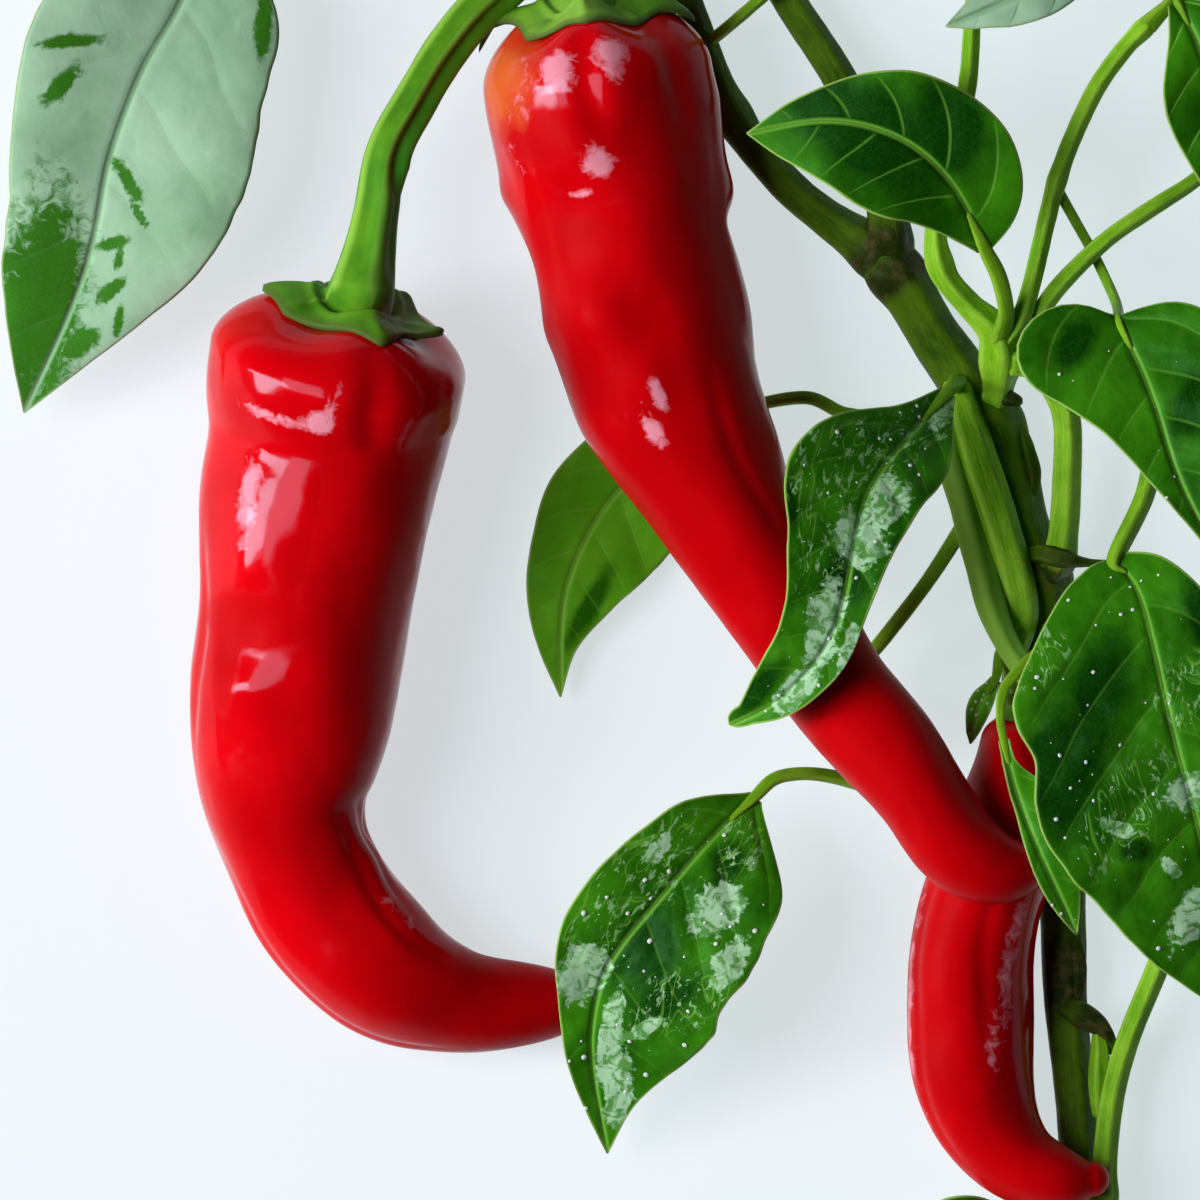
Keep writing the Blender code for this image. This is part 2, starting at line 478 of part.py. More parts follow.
def blade_mesh(leaf):
    """The blade: rows across the rib, as wide as the leaf is there, folded up a little along the rib."""
    rib = spaced(smooth_path(leaf["rib"]), 1.0)
    rib = spaced(rib, math.dist(rib[0], rib[1]) * (len(rib) - 1) / LEAF_STATIONS)
    stem_width = leaf["stalk"][-1][3] + 0.3
    sides = [[stem_width, *leaf[side], TIP_WIDTH] for side in ("left", "right")]
    lift = leaf.get("lift", MARGIN_LIFT)
    shape = bmesh.new()
    rows = []
    for i, point in enumerate(rib):
        along, level, upward = frame_at(rib, i)
        left, right = sides[0][i], sides[1][i]
        row = []
        for share in (-1, -0.5, 0, 0.5, 1):
            width = share * (left if share < 0 else right)
            row.append(shape.verts.new(Vector(point) + width * level + lift * abs(width) * upward))
        rows.append(row)
    for row, after in zip(rows, rows[1:]):
        for k in range(len(row) - 1):
            shape.faces.new((row[k], row[k + 1], after[k + 1], after[k]))
    sheet = bpy.data.objects.new("sheet", closed_mesh(shape))
    bpy.context.scene.collection.objects.link(sheet)
    thick = sheet.modifiers.new("thickness", "SOLIDIFY")
    thick.thickness = BLADE_THICKNESS
    thick.offset = 0
    mesh = evaluated_mesh(sheet)
    bpy.data.objects.remove(sheet)
    return mesh


def material(name):
    (red, green, blue), roughness = COLOURS[name]
    made = bpy.data.materials.new(name)
    made.use_nodes = True
    shader = made.node_tree.nodes["Principled BSDF"]
    shader.inputs["Base Color"].default_value = (red, green, blue, 1)
    shader.inputs["Roughness"].default_value = roughness
    shader.inputs["Metallic"].default_value = 0
    return made


def add_limbs(paint):
    """The stems, boughs and shoots, each starting clear of those before it."""
    made = {}
    for name, limb in LIMBS.items():
        if "after" in limb:
            path = continued(LIMBS[limb["after"]]["path"], limb["path"])
        else:
            followers = [other["path"] for other in LIMBS.values() if other.get("after") == name]
            path = started_clear(up_to_joint(limb["path"], *followers), made.values())
        if "end" in limb:
            path = started_clear(path[::-1], [made[limb["end"]]])[::-1]
        made[name] = runs_of(path, STALK_STEP if limb.get("thin") else LIMB_STEP)
        mesh = tube_mesh(made[name], STALK_SIDES if limb.get("thin") else LIMB_SIDES)
        finish(name, mesh, paint["stem" if name in OLD_WOOD else "shoot"])
    return made


def add_fruits(paint, limbs):
    """The fruits, each with its calyx and stalk in one piece."""
    for name, fruit in FRUITS.items():
        finish(name, fruit_mesh(fruit), paint["fruit"])
    for name, calyx in CALYXES.items():
        inside = CALYX_GAP + CALYX_THICKNESS + calyx["hub"][1] / 2
        hub = cap_point(FRUITS[calyx["fruit"]], 0, 0, inside)
        path = smooth_path([(*hub, calyx["stalk"][0][3]), *calyx["stalk"]], FINE)
        path = started_clear(path[::-1], limbs.values())[::-1]
        limbs[name] = runs_of(path, LIMB_STEP)
        finish(name, fused(calyx_mesh(calyx), tube_mesh(limbs[name], LIMB_SIDES)), paint["calyx"])


def add_leaves(paint, limbs):
    """The leaves, each blade fused to its own stalk."""
    for name, leaf in LEAVES.items():
        stalk = smooth_path(leaf["stalk"], FINE)
        inside = smooth_path([(*point, leaf["stalk"][-1][3] * 0.8) for point in leaf["rib"]], FINE)
        stalk = started_clear(stalk + inside[1:20], limbs.values())
        limbs[name] = runs_of(stalk, STALK_STEP)
        mesh = fused(blade_mesh(leaf), tube_mesh(limbs[name], STALK_SIDES))
        finish(name, mesh, paint[leaf["shade"] + " leaf"])


for old in list(bpy.data.objects):
    bpy.data.objects.remove(old)
branch = bpy.data.collections.new("chilli_branch")
bpy.context.scene.collection.children.link(branch)
origin = bpy.data.objects.new("branch_origin", None)
origin.location = (-PLAN_CENTRE[0] * MM, -PLAN_CENTRE[1] * MM, 0)
branch.objects.link(origin)

paints = {name: material(name) for name in COLOURS}
stalks = add_limbs(paints)
add_fruits(paints, stalks)
add_leaves(paints, stalks)
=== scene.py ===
import math

import bmesh
import bpy
from mathutils import Matrix, Vector, noise


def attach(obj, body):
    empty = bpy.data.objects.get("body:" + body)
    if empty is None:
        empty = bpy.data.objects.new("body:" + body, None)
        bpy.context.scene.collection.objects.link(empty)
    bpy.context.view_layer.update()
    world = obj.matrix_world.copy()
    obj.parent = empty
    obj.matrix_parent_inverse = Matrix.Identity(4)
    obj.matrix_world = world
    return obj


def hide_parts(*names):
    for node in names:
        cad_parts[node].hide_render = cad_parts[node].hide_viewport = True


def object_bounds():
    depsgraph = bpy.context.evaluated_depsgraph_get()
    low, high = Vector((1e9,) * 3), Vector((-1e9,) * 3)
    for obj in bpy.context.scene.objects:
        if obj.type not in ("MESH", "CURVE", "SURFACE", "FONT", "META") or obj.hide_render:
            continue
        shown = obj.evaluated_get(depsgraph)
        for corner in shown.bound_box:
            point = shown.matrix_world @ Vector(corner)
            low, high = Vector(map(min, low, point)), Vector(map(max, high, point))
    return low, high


# A cut chilli pepper branch. Points are millimetres across, along and up, as the solids have them too,
# and addPiece moves the finished meshes onto the frame, whose middle is planCentre.
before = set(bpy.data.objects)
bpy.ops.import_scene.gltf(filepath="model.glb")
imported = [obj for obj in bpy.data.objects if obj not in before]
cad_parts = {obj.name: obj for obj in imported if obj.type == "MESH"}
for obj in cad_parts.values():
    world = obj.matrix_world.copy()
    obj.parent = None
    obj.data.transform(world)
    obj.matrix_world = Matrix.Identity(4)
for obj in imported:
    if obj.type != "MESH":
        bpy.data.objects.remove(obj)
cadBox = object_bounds()
mm = 0.001
planCentre = (8.2, 17.5)
print("frame loaded:", len(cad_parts), "solids")


# paths: lists of points, each with its radius or other numbers behind the place
def curveAt(a, b, c, d, t):
    # a smooth curve from b to c that heads for what lies beyond them
    return b + 0.5 * t * (c - a + t * (2 * a - 5 * b + 4 * c - d + t * (3 * (b - c) + d - a)))


def smoothPath(points, step=0.25):
    first, last = ([2 * a - b for a, b in zip(*pair)] for pair in (points[:2], points[:-3:-1]))
    knots = [first, *points, last]
    path = []
    for four in zip(knots, knots[1:], knots[2:], knots[3:]):
        runs = max(2, math.ceil(math.dist(four[1][:3], four[2][:3]) / step))
        path += [[curveAt(*numbers, i / runs) for numbers in zip(*four)] for i in range(runs)]
    return [*path, list(points[-1])]


def lengthsAlong(path):
    lengths = [0.0]
    for a, b in zip(path, path[1:]):
        lengths.append(lengths[-1] + math.dist(a[:3], b[:3]))
    return lengths


def spaced(path, step):
    lengths = lengthsAlong(path)
    count = max(2, round(lengths[-1] / step))
    found, i = [], 0
    for k in range(count + 1):
        at = lengths[-1] * k / count
        while i < len(path) - 2 and lengths[i + 1] < at:
            i += 1
        share = (at - lengths[i]) / max(lengths[i + 1] - lengths[i], 1e-9)
        found.append([a + (b - a) * share for a, b in zip(path[i], path[i + 1])])
    return found


def eased(path, rounds):
    # evens out a path and its radii, with the ends kept
    for _ in range(rounds):
        middle = [[(a + 2 * b + c) / 4 for a, b, c in zip(*three)] for three in zip(path, path[1:], path[2:])]
        path = [path[0], *middle, path[-1]]
    return path


def frameAt(path, i):
    before, after = path[max(i - 1, 0)], path[min(i + 1, len(path) - 1)]
    along = (Vector(after[:3]) - Vector(before[:3])).normalized()
    level = along.cross(Vector((0, 0, 1))).normalized()
    return along, level, level.cross(along)


def blendOf(values, share):
    # a smooth curve through evenly spaced values
    last = len(values) - 1
    at = min(max(share, 0.0), 1.0) * last
    i = min(int(at), last - 1)
    b, c = values[i], values[i + 1]
    a = values[i - 1] if i else 2 * b - c
    d = values[i + 2] if i < last - 1 else 2 * c - b
    return curveAt(a, b, c, d, at - i)


def hill(distance, width):
    return math.exp(-((distance / width) ** 2))


def apart(turn, degrees):
    # the angle between them, from minus half a turn to half a turn
    return (turn - math.radians(degrees) + math.pi) % math.tau - math.pi


def onCircle(turn, level, upward):
    return math.cos(turn) * level + math.sin(turn) * upward


def bumps(point, scale, seed=0.0):
    return noise.noise(Vector(point) / scale + Vector((seed, seed * 0.7, seed * 1.3)))


# meshes and pieces
def outwards(mesh, gap=0.0):
    # points closer than the gap are merged, and the faces turned outwards
    shape = bmesh.new()
    shape.from_mesh(mesh)
    if gap:
        bmesh.ops.remove_doubles(shape, verts=shape.verts[:], dist=gap)
    bmesh.ops.recalc_face_normals(shape, faces=shape.faces[:])
    shape.to_mesh(mesh)
    shape.free()
    return mesh


def meshOf(points, edges, faces, fields):
    mesh = bpy.data.meshes.new("shape")
    mesh.from_pydata(points, edges, faces)
    for name, values in fields.items():
        mesh.attributes.new(name, "FLOAT", "POINT").data.foreach_set("value", values)
    return mesh


def loftMesh(rings, start, end, fields):
    # rings of points closed by a point at each end; fields are numbers for each point, in the same order
    around, count = len(rings[0]), len(rings) * len(rings[0])
    faces = [(i + k, i + (k + 1) % around, i + around + (k + 1) % around, i + around + k)
             for i in range(0, count - around, around) for k in range(around)]
    for row, cap in ((0, count), (count - around, count + 1)):
        faces += [(row + (k - 1) % around, row + k, cap) for k in range(around)]
    return outwards(meshOf([*(point for ring in rings for point in ring), start, end], [], faces, fields))


def addObject(name, data):
    made = bpy.data.objects.new(name, data)
    bpy.context.scene.collection.objects.link(made)
    return made


def addPiece(node, mesh, paint, suffix="", grownOn=False):
    # what is grown on a finished piece is on the frame by then, and stands for no solid
    if not grownOn:
        shift = Matrix.Translation((-planCentre[0] * mm, -planCentre[1] * mm, 0))
        mesh.transform(shift @ Matrix.Scale(mm, 4))
    for vertex in mesh.vertices:
        vertex.co.z = max(vertex.co.z, cadBox[0][2])     # what lies on the surface is pressed flat on it
    mesh.materials.clear()
    mesh.materials.append(paint)
    mesh.shade_smooth()
    first, *others = node.split("_")
    piece = addObject(first + "".join(word.capitalize() for word in others) + suffix, mesh)
    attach(piece, "root")
    if not grownOn:
        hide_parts(node)
    return piece


# nodes and materials
class Nodes:
    # fills one node tree, called n below; each method gives the socket to wire on
    def __init__(self, tree):
        self.tree = tree

    def feed(self, node, values):
        # a socket is wired in, and a number or a colour is set
        for key, value in values.items():
            socket = node.inputs[key]
            if isinstance(value, bpy.types.NodeSocket):
                self.tree.links.new(value, socket)
            else:
                socket.default_value = (*value, 1) if socket.type == "RGBA" else value

    def add(self, kind, values=None, **settings):
        node = self.tree.nodes.new(kind)
        for key, value in settings.items():
            setattr(node, key, value)
        self.feed(node, values or {})
        return node

    def out(self, kind, values=None, socket=0, **settings):
        return self.add(kind, values, **settings).outputs[socket]

    def math(self, operation, *values):
        return self.out("ShaderNodeMath", dict(enumerate(values)), operation=operation)

    def vector(self, operation, *values, socket=0):
        return self.out("ShaderNodeVectorMath", dict(enumerate(values)), socket, operation=operation)

    def times(self, a, b):
        return self.math("MULTIPLY", a, b)

    def plus(self, a, b, share=None):
        return self.math("ADD", a, b if share is None else self.times(b, share))

    def scaled(self, vector, amount):
        return self.out("ShaderNodeVectorMath", {0: vector, "Scale": amount}, operation="SCALE")

    def axis(self, vector, name):
        return self.out("ShaderNodeSeparateXYZ", {0: vector}, name)

    def place(self, kind="Object"):
        return self.out("ShaderNodeTexCoord", socket=kind)

    def noise(self, scale, detail, roughness=0.55, distortion=0, vector=None):
        return self.out("ShaderNodeTexNoise", {
            "Vector": self.place() if vector is None else vector, "Scale": scale, "Detail": detail,
            "Roughness": roughness, "Distortion": distortion})

    def spread(self, source, low, high, newLow=0, newHigh=1):
        return self.out("ShaderNodeMapRange", {
            "Value": source, "From Min": low, "From Max": high, "To Min": newLow, "To Max": newHigh})

    def clouds(self, scale, detail, *reach):
        return self.spread(self.noise(scale, detail), *reach)

    def mix(self, share, low, high, mode="MIX"):
        return self.out("ShaderNodeMix", {0: share, 6: low, 7: high}, 2, data_type="RGBA", blend_type=mode)

    def field(self, name, socket="Fac"):
        return self.out("ShaderNodeAttribute", socket=socket, attribute_name=name)

    def bump(self, height, strength, distance, before=None):
        below = {} if before is None else {"Normal": before}
        return self.out("ShaderNodeBump", {
            "Height": height, "Strength": strength, "Distance": distance, **below})

    def ramp(self, source, *stops):
        made = self.add("ShaderNodeValToRGB", {"Fac": source})
        for element, (at, colour) in zip(made.color_ramp.elements, stops):
            element.position, element.color = at, (*colour, 1)
        return made.outputs["Color"]

    def named(self, name, kind="FLOAT"):
        return self.out("GeometryNodeInputNamedAttribute", {"Name": name}, data_type=kind)

    def stored(self, geometry, name, value, kind="FLOAT"):
        return self.out("GeometryNodeStoreNamedAttribute", {
            "Geometry": geometry, "Name": name, "Value": value}, data_type=kind)

    def ended(self, geometry, paint):
        # every geometry tree ends in a real mesh with its paint on
        real = self.out("GeometryNodeRealizeInstances", {0: geometry})
        painted = self.out("GeometryNodeSetMaterial", {"Geometry": real, "Material": paint})
        self.add("NodeGroupOutput", {0: painted})
        return self.tree


def newMaterial(name):
    made = bpy.data.materials.new(name)
    made.use_nodes = True
    return made, Nodes(made.node_tree), made.node_tree.nodes["Principled BSDF"]


def newTree(name, inputs):
    tree = bpy.data.node_groups.new(name, "GeometryNodeTree")
    for label, kind in {"Geometry": "Geometry", **inputs, "Paint": "Material"}.items():
        tree.interface.new_socket(label, in_out="INPUT", socket_type="NodeSocket" + kind)
    tree.interface.new_socket("Geometry", in_out="OUTPUT", socket_type="NodeSocketGeometry")
    return Nodes(tree), tree.nodes.new("NodeGroupInput").outputs


# camera, lights and floor
studio = {
    "camera height": 3.0, "view width": 0.16, "sharp height": 0.015, "film": 36,
    "lamps": {
        "window": dict(place=(-1.12, -0.06, 0.52), size=(0.25, 0.58), power=17, colour=(0.96, 0.97, 1)),
        "ceiling": dict(place=(-0.72, 0.02, 0.95), size=(0.6, 0.6), power=12, colour=(0.95, 0.94, 1))},
    "zenith": (0.03, 0.034, 0.04), "horizon": (0.28, 0.29, 0.36), "far side": (0.13, 0.135, 0.155),
    "floor": (0.235, 0.245, 0.255), "floor fleck": (0.22795, 0.2401, 0.25245),
    "floor size": 3.0, "floor gap": 0.0002,
    "floor glow": (0.598, 0.635, 0.665), "floor glow far": (0.588, 0.66, 0.674), "glow turns": (-0.08, 0.05),
}


def addCamera():
    data = bpy.data.cameras.new("camera")
    data.sensor_width = studio["film"]
    data.lens = studio["film"] * (studio["camera height"] - studio["sharp height"]) / studio["view width"]
    data.clip_end = 20
    camera = addObject("camera", data)
    camera.location = (-planCentre[0] * mm, -planCentre[1] * mm, studio["camera height"])
    bpy.context.scene.camera = camera


def addLights():
    for name, told in studio["lamps"].items():
        data = bpy.data.lights.new(name, "AREA")
        data.shape = "RECTANGLE"
        data.size, data.size_y = told["size"]
        data.energy, data.color = told["power"], told["colour"]
        lamp = addObject(name, data)
        lamp.location = told["place"]
        lamp.rotation_euler = (-Vector(told["place"])).to_track_quat("-Z", "Y").to_euler()
    world = bpy.context.scene.world = bpy.data.worlds.new("studio")
    world.use_nodes = True
    n = Nodes(world.node_tree)
    sky = n.ramp(n.axis(n.place("Generated"), "Z"), (0, studio["horizon"]), (0.28, studio["zenith"]))
    side = n.ramp(n.spread(n.axis(n.place("Generated"), "X"), -1, 1),
                  (0.35, (1, 1, 1)), (0.85, studio["far side"]))
    n.feed(n.tree.nodes["Background"], {"Color": n.mix(1.0, sky, side, "MULTIPLY"), "Strength": 1})


def addFloor():
    half = studio["floor size"]
    corners = [(-half, -half, 0), (half, -half, 0), (half, half, 0), (-half, half, 0)]
    floor = addObject("floor", meshOf(corners, [], [(0, 1, 2, 3)], {}))
    floor.location = (0, 0, cadBox[0][2] - studio["floor gap"])
    paint, n, shader = newMaterial("palePaper")
    across = n.spread(n.axis(n.place(), "X"), *studio["glow turns"])
    n.feed(shader, {
        "Base Color": n.mix(n.noise(6, 2), studio["floor"], studio["floor fleck"]),
        "Roughness": 0.6, "Specular IOR Level": 0.2, "Emission Strength": 1,
        "Emission Color": n.mix(across, studio["floor glow"], studio["floor glow far"])})
    floor.data.materials.append(paint)


addCamera()
addLights()
addFloor()
bpy.context.scene.view_settings.view_transform = "Standard"
print("camera, lights and floor: done")


# fruits
skin = dict(step=0.7, pathStep=0.5, easing=12, sides=112, capRings=26, tipRings=6, capReach=9,
            dimpleWidth=0.3, softSize=6.5, softHeight=0.3, fineSize=2.4, fineHeight=0.05, lobeFade=28,
            oval=0.016, uneven=0.012, creaseSway=3, creaseFade=1.5, smoothBelow=4)
# the pale pink tone is for painted highlights, partly scuffed skin; the shade red is painted shade over the
# dull places
skinTones = dict(deep=(0.41, 0, 0.002), ripe=(0.52, 0.0005, 0.003), shade=(0.26, 0, 0.001),
                 unripe=(0.46, 0.085, 0.018), unripeAt=(-0.0222, 0.052, 0.0215), rubbed=(0.66, 0.27, 0.34))
# a dent is (how far along, turn, length, width, height); a dull place (less glossy, darkened as painted
# shade) or a painted highlight (partly scuffed skin) ends in how much instead; a crease is (turn, depth,
# width, start, end); a point of an axis or a path ends in its radius
fruits = {
    "fruit_left": dict(
        dome=8.5, dimple=4.2, lobes=3, lobeSize=0.055, turn=0.5, seed=3.1,
        axis=[(-34.2, 31, 19.8, 17.3), (-35.4, 26, 18.2, 16.9), (-36, 21, 17.1, 15.9),
        (-37.8, 11, 16, 15.4), (-39.1, 0, 15, 14.5), (-40.8, -13, 14, 13.6), (-42, -21.5, 12.7, 12.4),
        (-41.6, -29, 11.2, 10.9), (-37.4, -39.5, 10, 9.8), (-29, -49.3, 9.5, 9.4), (-19, -53.6, 7.5, 7.2),
        (-9, -54, 6.2, 5.4), (-3.5, -53.7, 5.8, 3.7), (0.5, -53.3, 5.6, 1.6)],
        dents=[(9.5, 15, 5, 9, -0.3), (10, 80, 4, 12, -0.25), (20, 60, 8, 7, 0.75), (2, 55, 5, 6, 0.5),
        (34.5, 62, 4.5, 6.5, -0.7), (39, 64, 3.5, 6, -0.3), (44, 60, 2.8, 4, 0.55), (52, 110, 8, 5, -0.3),
        (60, 55, 7, 5, 0.35), (66, 170, 3, 3, -0.7), (72, 150, 4, 3, 0.5), (78, 95, 7, 4, -0.35),
        (86, 60, 6, 4, 0.4), (95, 120, 6, 4, 0.35), (64, 8, 5, 4, -0.45), (75, 15, 5, 4, 0.4)],
        creases=[(108, 0.9, 2.4, -9, 7), (18, 0.45, 1.3, 26, 52), (152, 0.35, 0.8, 60, 82),
        (172, 0.35, 0.7, 60, 76), (128, 0.3, 1, 62, 92), (20, 0.3, 0.9, 68, 95)],
        dull=[(34.6, 60, 3.4, 9, 1.7), (42, 46, 4.5, 2, 1.5), (60, 60, 8, 5, 1), (84, 70, 7, 6, 0.7),
        (104, 100, 12, 9, 1.4), (30, 142, 34, 5, 1.1), (17, 87, 7, 1.5, 0.9), (26, 80, 4, 2.4, 1.1)],
        shineAndScuff=[(82, 140, 9, 1.6, 0.5), (66, 165, 5, 1.2, 0.5), (3.2, 86, 2.2, 2, 1),
        (4.4, 62, 0.9, 6, 0.85), (0.6, 91, 1.6, 0.8, 0.6), (18, 53, 7.5, 2.2, 0.85),
        (12, 168, 2.2, 2.6, 0.7)]),
    "fruit_middle": dict(
        dome=10, dimple=4.4, lobes=4, lobeSize=0.045, turn=0.2, seed=8.4,
        axis=[(-0.3, 69.4, 15.9, 14.7), (0.5, 63.5, 15.4, 15), (2.6, 55, 15.1, 14.2),
        (4.2, 46.5, 15.3, 13.4), (6.5, 37, 16.2, 13.5), (9, 27.5, 17.3, 12.3), (15.5, 14, 18.5, 9.8),
        (24, 0.3, 19.6, 8.2), (30.5, -10.5, 20.8, 7.1), (38, -19.5, 23, 7), (42.7, -25.8, 25.2, 6.1),
        (47.3, -32.6, 26.8, 5.8), (52.3, -35.6, 26.8, 5), (56.6, -35.6, 26.4, 3.4), (59, -35.3, 26, 1.4)],
        dents=[(9, 72, 4, 4, 0.55), (13, 60, 3, 3, -0.3), (18, 182, 3.2, 4, 0.9), (22, 186, 2.4, 4, -0.7),
        (17, 58, 3, 5, -0.45), (24, 50, 5, 6, -0.6), (33, 56, 4, 4, 0.3), (38, 45, 4, 5, -0.5),
        (34, 88, 6, 4.2, -1.5), (42, 80, 4, 3, 0.5), (46, 95, 4, 4, -0.25), (7, 5, 4, 4, -0.6),
        (12, -4, 2.6, 4, 0.5), (22, 0, 4, 4, -0.5), (31, 3, 3, 3, 0.5), (39, 2, 3.2, 3, -0.4),
        (56, 175, 5, 4, 0.5), (64, 90, 6, 3, 0.35), (72, 60, 5, 3, -0.35), (82, 110, 5, 3, 0.3)],
        creases=[(84, 1.1, 2.2, -8, 5), (135, 0.4, 2, -6, 8), (155, 0.2, 1.6, 8, 36),
        (35, 0.3, 1.5, 4, 24), (120, 0.3, 1.2, 44, 66)],
        dull=[(5.5, 60, 3.2, 9, 1.5), (29, 55, 11, 13, 2.2), (57, 60, 7, 11, 1.5), (92, 70, 34, 13, 2.2),
        (22, 140, 26, 6, 1.2)],
        shineAndScuff=[(-0.5, 68, 0.9, 2.8, 1.15), (-0.8, 99, 0.9, 2.8, 1.15), (10.4, 82, 2.4, 2.2, 1.15),
        (14.6, 67, 0.8, 2.2, 0.95), (44, 84, 2.4, 1.2, 1), (48, 70, 3, 1.4, 0.9), (1.5, 44, 4, 2.5, 0.45),
        (7, 28, 5, 2, 0.4)]),
    "fruit_right": dict(
        dome=4.6, dimple=2.2, lobes=3, lobeSize=0.05, turn=1.1, seed=14.2,
        axis=[(58, -19.8, 15.4, 7.3), (56.8, -25, 14.8, 7.6), (54, -32.5, 13, 7.9),
        (51.3, -39.5, 10.7, 8.1), (49.6, -48, 9, 8.5), (49.5, -57, 8.5, 8.5), (50, -64, 8.2, 8),
        (52.2, -70.5, 8.6, 6.9), (56.2, -75.3, 10, 5.6), (61.4, -77.3, 11.4, 4.5),
        (64.4, -77.4, 11.6, 3.6), (65.6, -77.3, 11.6, 2.4)],
        dents=[(12, 60, 5, 3, 0.35), (20, 120, 5, 3, -0.35), (30, 90, 6, 4, 0.3), (40, 60, 4, 3, -0.4),
        (48, 100, 5, 3, 0.3), (58, 70, 4, 3, -0.25)],
        creases=[(100, 0.3, 1.2, 6, 40), (30, 0.3, 1, 20, 55)],
        dull=[(30, 50, 36, 7, 2), (62, 80, 12, 7, 1.5)],
        shineAndScuff=[(33, 124, 9, 1.7, 0.6), (22, 130, 6, 1.4, 0.62), (42, 108, 5, 1.1, 0.55),
        (36, 12, 16, 2, 0.7)]),
}


def girth(fruit, far, turn):
    lobes = fruit["lobeSize"] * math.exp(-far / skin["lobeFade"])
    lobes *= math.cos(fruit["lobes"] * turn + fruit["turn"])
    oval = skin["oval"] * math.sin(2 * turn + far / 6)
    return 1 + lobes + oval + skin["uneven"] * math.sin(3 * turn - far / 4)


def spotAt(far, turn, radius, spot):
    at, degrees, length, width, much = spot
    return much * hill(far - at, length) * hill(apart(turn, degrees) * radius, width)


def skinRelief(fruit, far, turn, radius):
    total = sum(spotAt(far, turn, radius, dent) for dent in fruit["dents"]
                if abs(far - dent[0]) < 3 * dent[2])
    for degrees, depth, width, start, end in fruit["creases"]:
        if start - 6 < far < end + 6:
            soft, sway = skin["creaseFade"], skin["creaseSway"] * math.sin(far / 5)
            fade = 1 / (1 + math.exp(-(far - start) / soft)) / (1 + math.exp((far - end) / soft))
            total -= depth * fade * hill(apart(turn, degrees + sway) * radius, width)
    across = (radius * math.cos(turn), radius * math.sin(turn))
    total += skin["softHeight"] * bumps((far / 2.2, *across), skin["softSize"], fruit["seed"])
    total += skin["fineHeight"] * bumps((far / 1.4, *across), skin["fineSize"], fruit["seed"] + 5)
    return total * min(1.0, radius / skin["smoothBelow"])


def capPoint(fruit, share, turn, lift=0.0):
    # a point over the shoulder, from the middle of the dimple at nought to the first ring at one
    along, *sides = frameAt(fruit["axis"], 0)
    *middle, size = fruit["axis"][0]
    edge = size * girth(fruit, 0, turn)
    edge += skinRelief(fruit, -(1 - share) * skin["capReach"], turn, size * max(share, 0.2))
    height = fruit["dome"] * math.sqrt(max(0.0, 1 - share * share))
    height *= 1 + 0.5 * share * (1 - share) * math.cos(fruit["lobes"] * turn + fruit["turn"])
    height -= fruit["dimple"] * hill(share, skin["dimpleWidth"])
    return Vector(middle) + share * edge * onCircle(turn, *sides) - (height + lift) * along


def fruitMesh(fruit):
    turns = [math.tau * k / skin["sides"] for k in range(skin["sides"])]
    shares = [math.sin(math.pi / 2 * k / skin["capRings"]) for k in range(1, skin["capRings"])]
    rings = [[capPoint(fruit, share, turn) for turn in turns] for share in shares]
    spots = [((share - 1) * skin["capReach"], fruit["axis"][0][3]) for share in shares]
    path = eased(spaced(smoothPath(fruit["axis"], skin["pathStep"]), skin["step"]), skin["easing"])
    for i, (*middle, radius) in enumerate(path):
        _, *sides = frameAt(path if i else fruit["axis"], i)
        far = i * skin["step"]
        spots.append((far, radius))
        rings.append([
            Vector(middle) + (radius * girth(fruit, far, turn) + skinRelief(fruit, far, turn, radius))
            * onCircle(turn, *sides) for turn in turns])
    # the last rings round off to the tip
    along, *sides = frameAt(path, len(path) - 1)
    end, radius = Vector(path[-1][:3]), path[-1][3]
    for k in range(1, skin["tipRings"] + 1):
        angle = math.pi / 2 * k / (skin["tipRings"] + 1)
        centre = end + radius * math.sin(angle) * along
        rings.append([centre + radius * math.cos(angle) * onCircle(turn, *sides) for turn in turns])
        spots.append((far + k, radius))
    fields = {name: [min(1.0, sum(spotAt(far, turn, size, spot) for spot in fruit[name]))
                     for far, size in spots for turn in turns] + [0.0, 0.0] for name in ("dull", "shineAndScuff")}
    return loftMesh(rings, capPoint(fruit, 0, 0), end + radius * along, fields)


def fruitPaint(tones):
    made, n, shader = newMaterial("redSkin")
    red = n.mix(n.clouds(55, 3, 0.35, 0.65), tones["deep"], tones["ripe"])
    # painted shade: the dull places are also darkened towards the shade red
    red = n.mix(n.times(n.field("dull"), 0.4), red, tones["shade"])
    # the shoulder that isn't ripe yet
    away = n.vector("DISTANCE", n.place(), tones["unripeAt"], socket="Value")
    away = n.plus(away, n.clouds(260, 3, 0.3, 0.7, -0.0018, 0.0018))
    tone = n.mix(n.spread(away, 0.003, 0.0095, 0.9, 0), red, tones["unripe"])
    # painted highlights in ragged pale streaks, on the right fruit partly scuffed skin
    rubbed = n.plus(n.field("shineAndScuff"), n.noise(520, 4, 0.6, 0.8), 1.4)
    tone = n.mix(n.spread(rubbed, 1.08, 1.5, 0, 0.75), tone, tones["rubbed"])
    dull = n.spread(n.plus(n.field("dull"), n.noise(330, 4, 0.65), 0.7), 0.62, 0.95)
    pores = n.bump(n.noise(900, 2), 0.12, 0.00008)
    n.feed(shader, {
        "Base Color": tone, "Roughness": n.plus(n.clouds(190, 4, 0.3, 0.7, 0.07, 0.15), dull, 0.3),
        "Specular IOR Level": 0.11, "Specular Tint": n.mix(dull, (0.3, 0.78, 1), (0, 0, 0)),
        "Subsurface Weight": 0.06, "Subsurface Radius": (1, 0.1, 0.05), "Subsurface Scale": 0.002,
        "Normal": n.bump(n.noise(240, 3), 0.35, 0.00015, pores)})
    return made


redSkin = fruitPaint(skinTones)
for node, fruit in fruits.items():
    addPiece(node, fruitMesh(fruit), redSkin)
print("fruits: done")


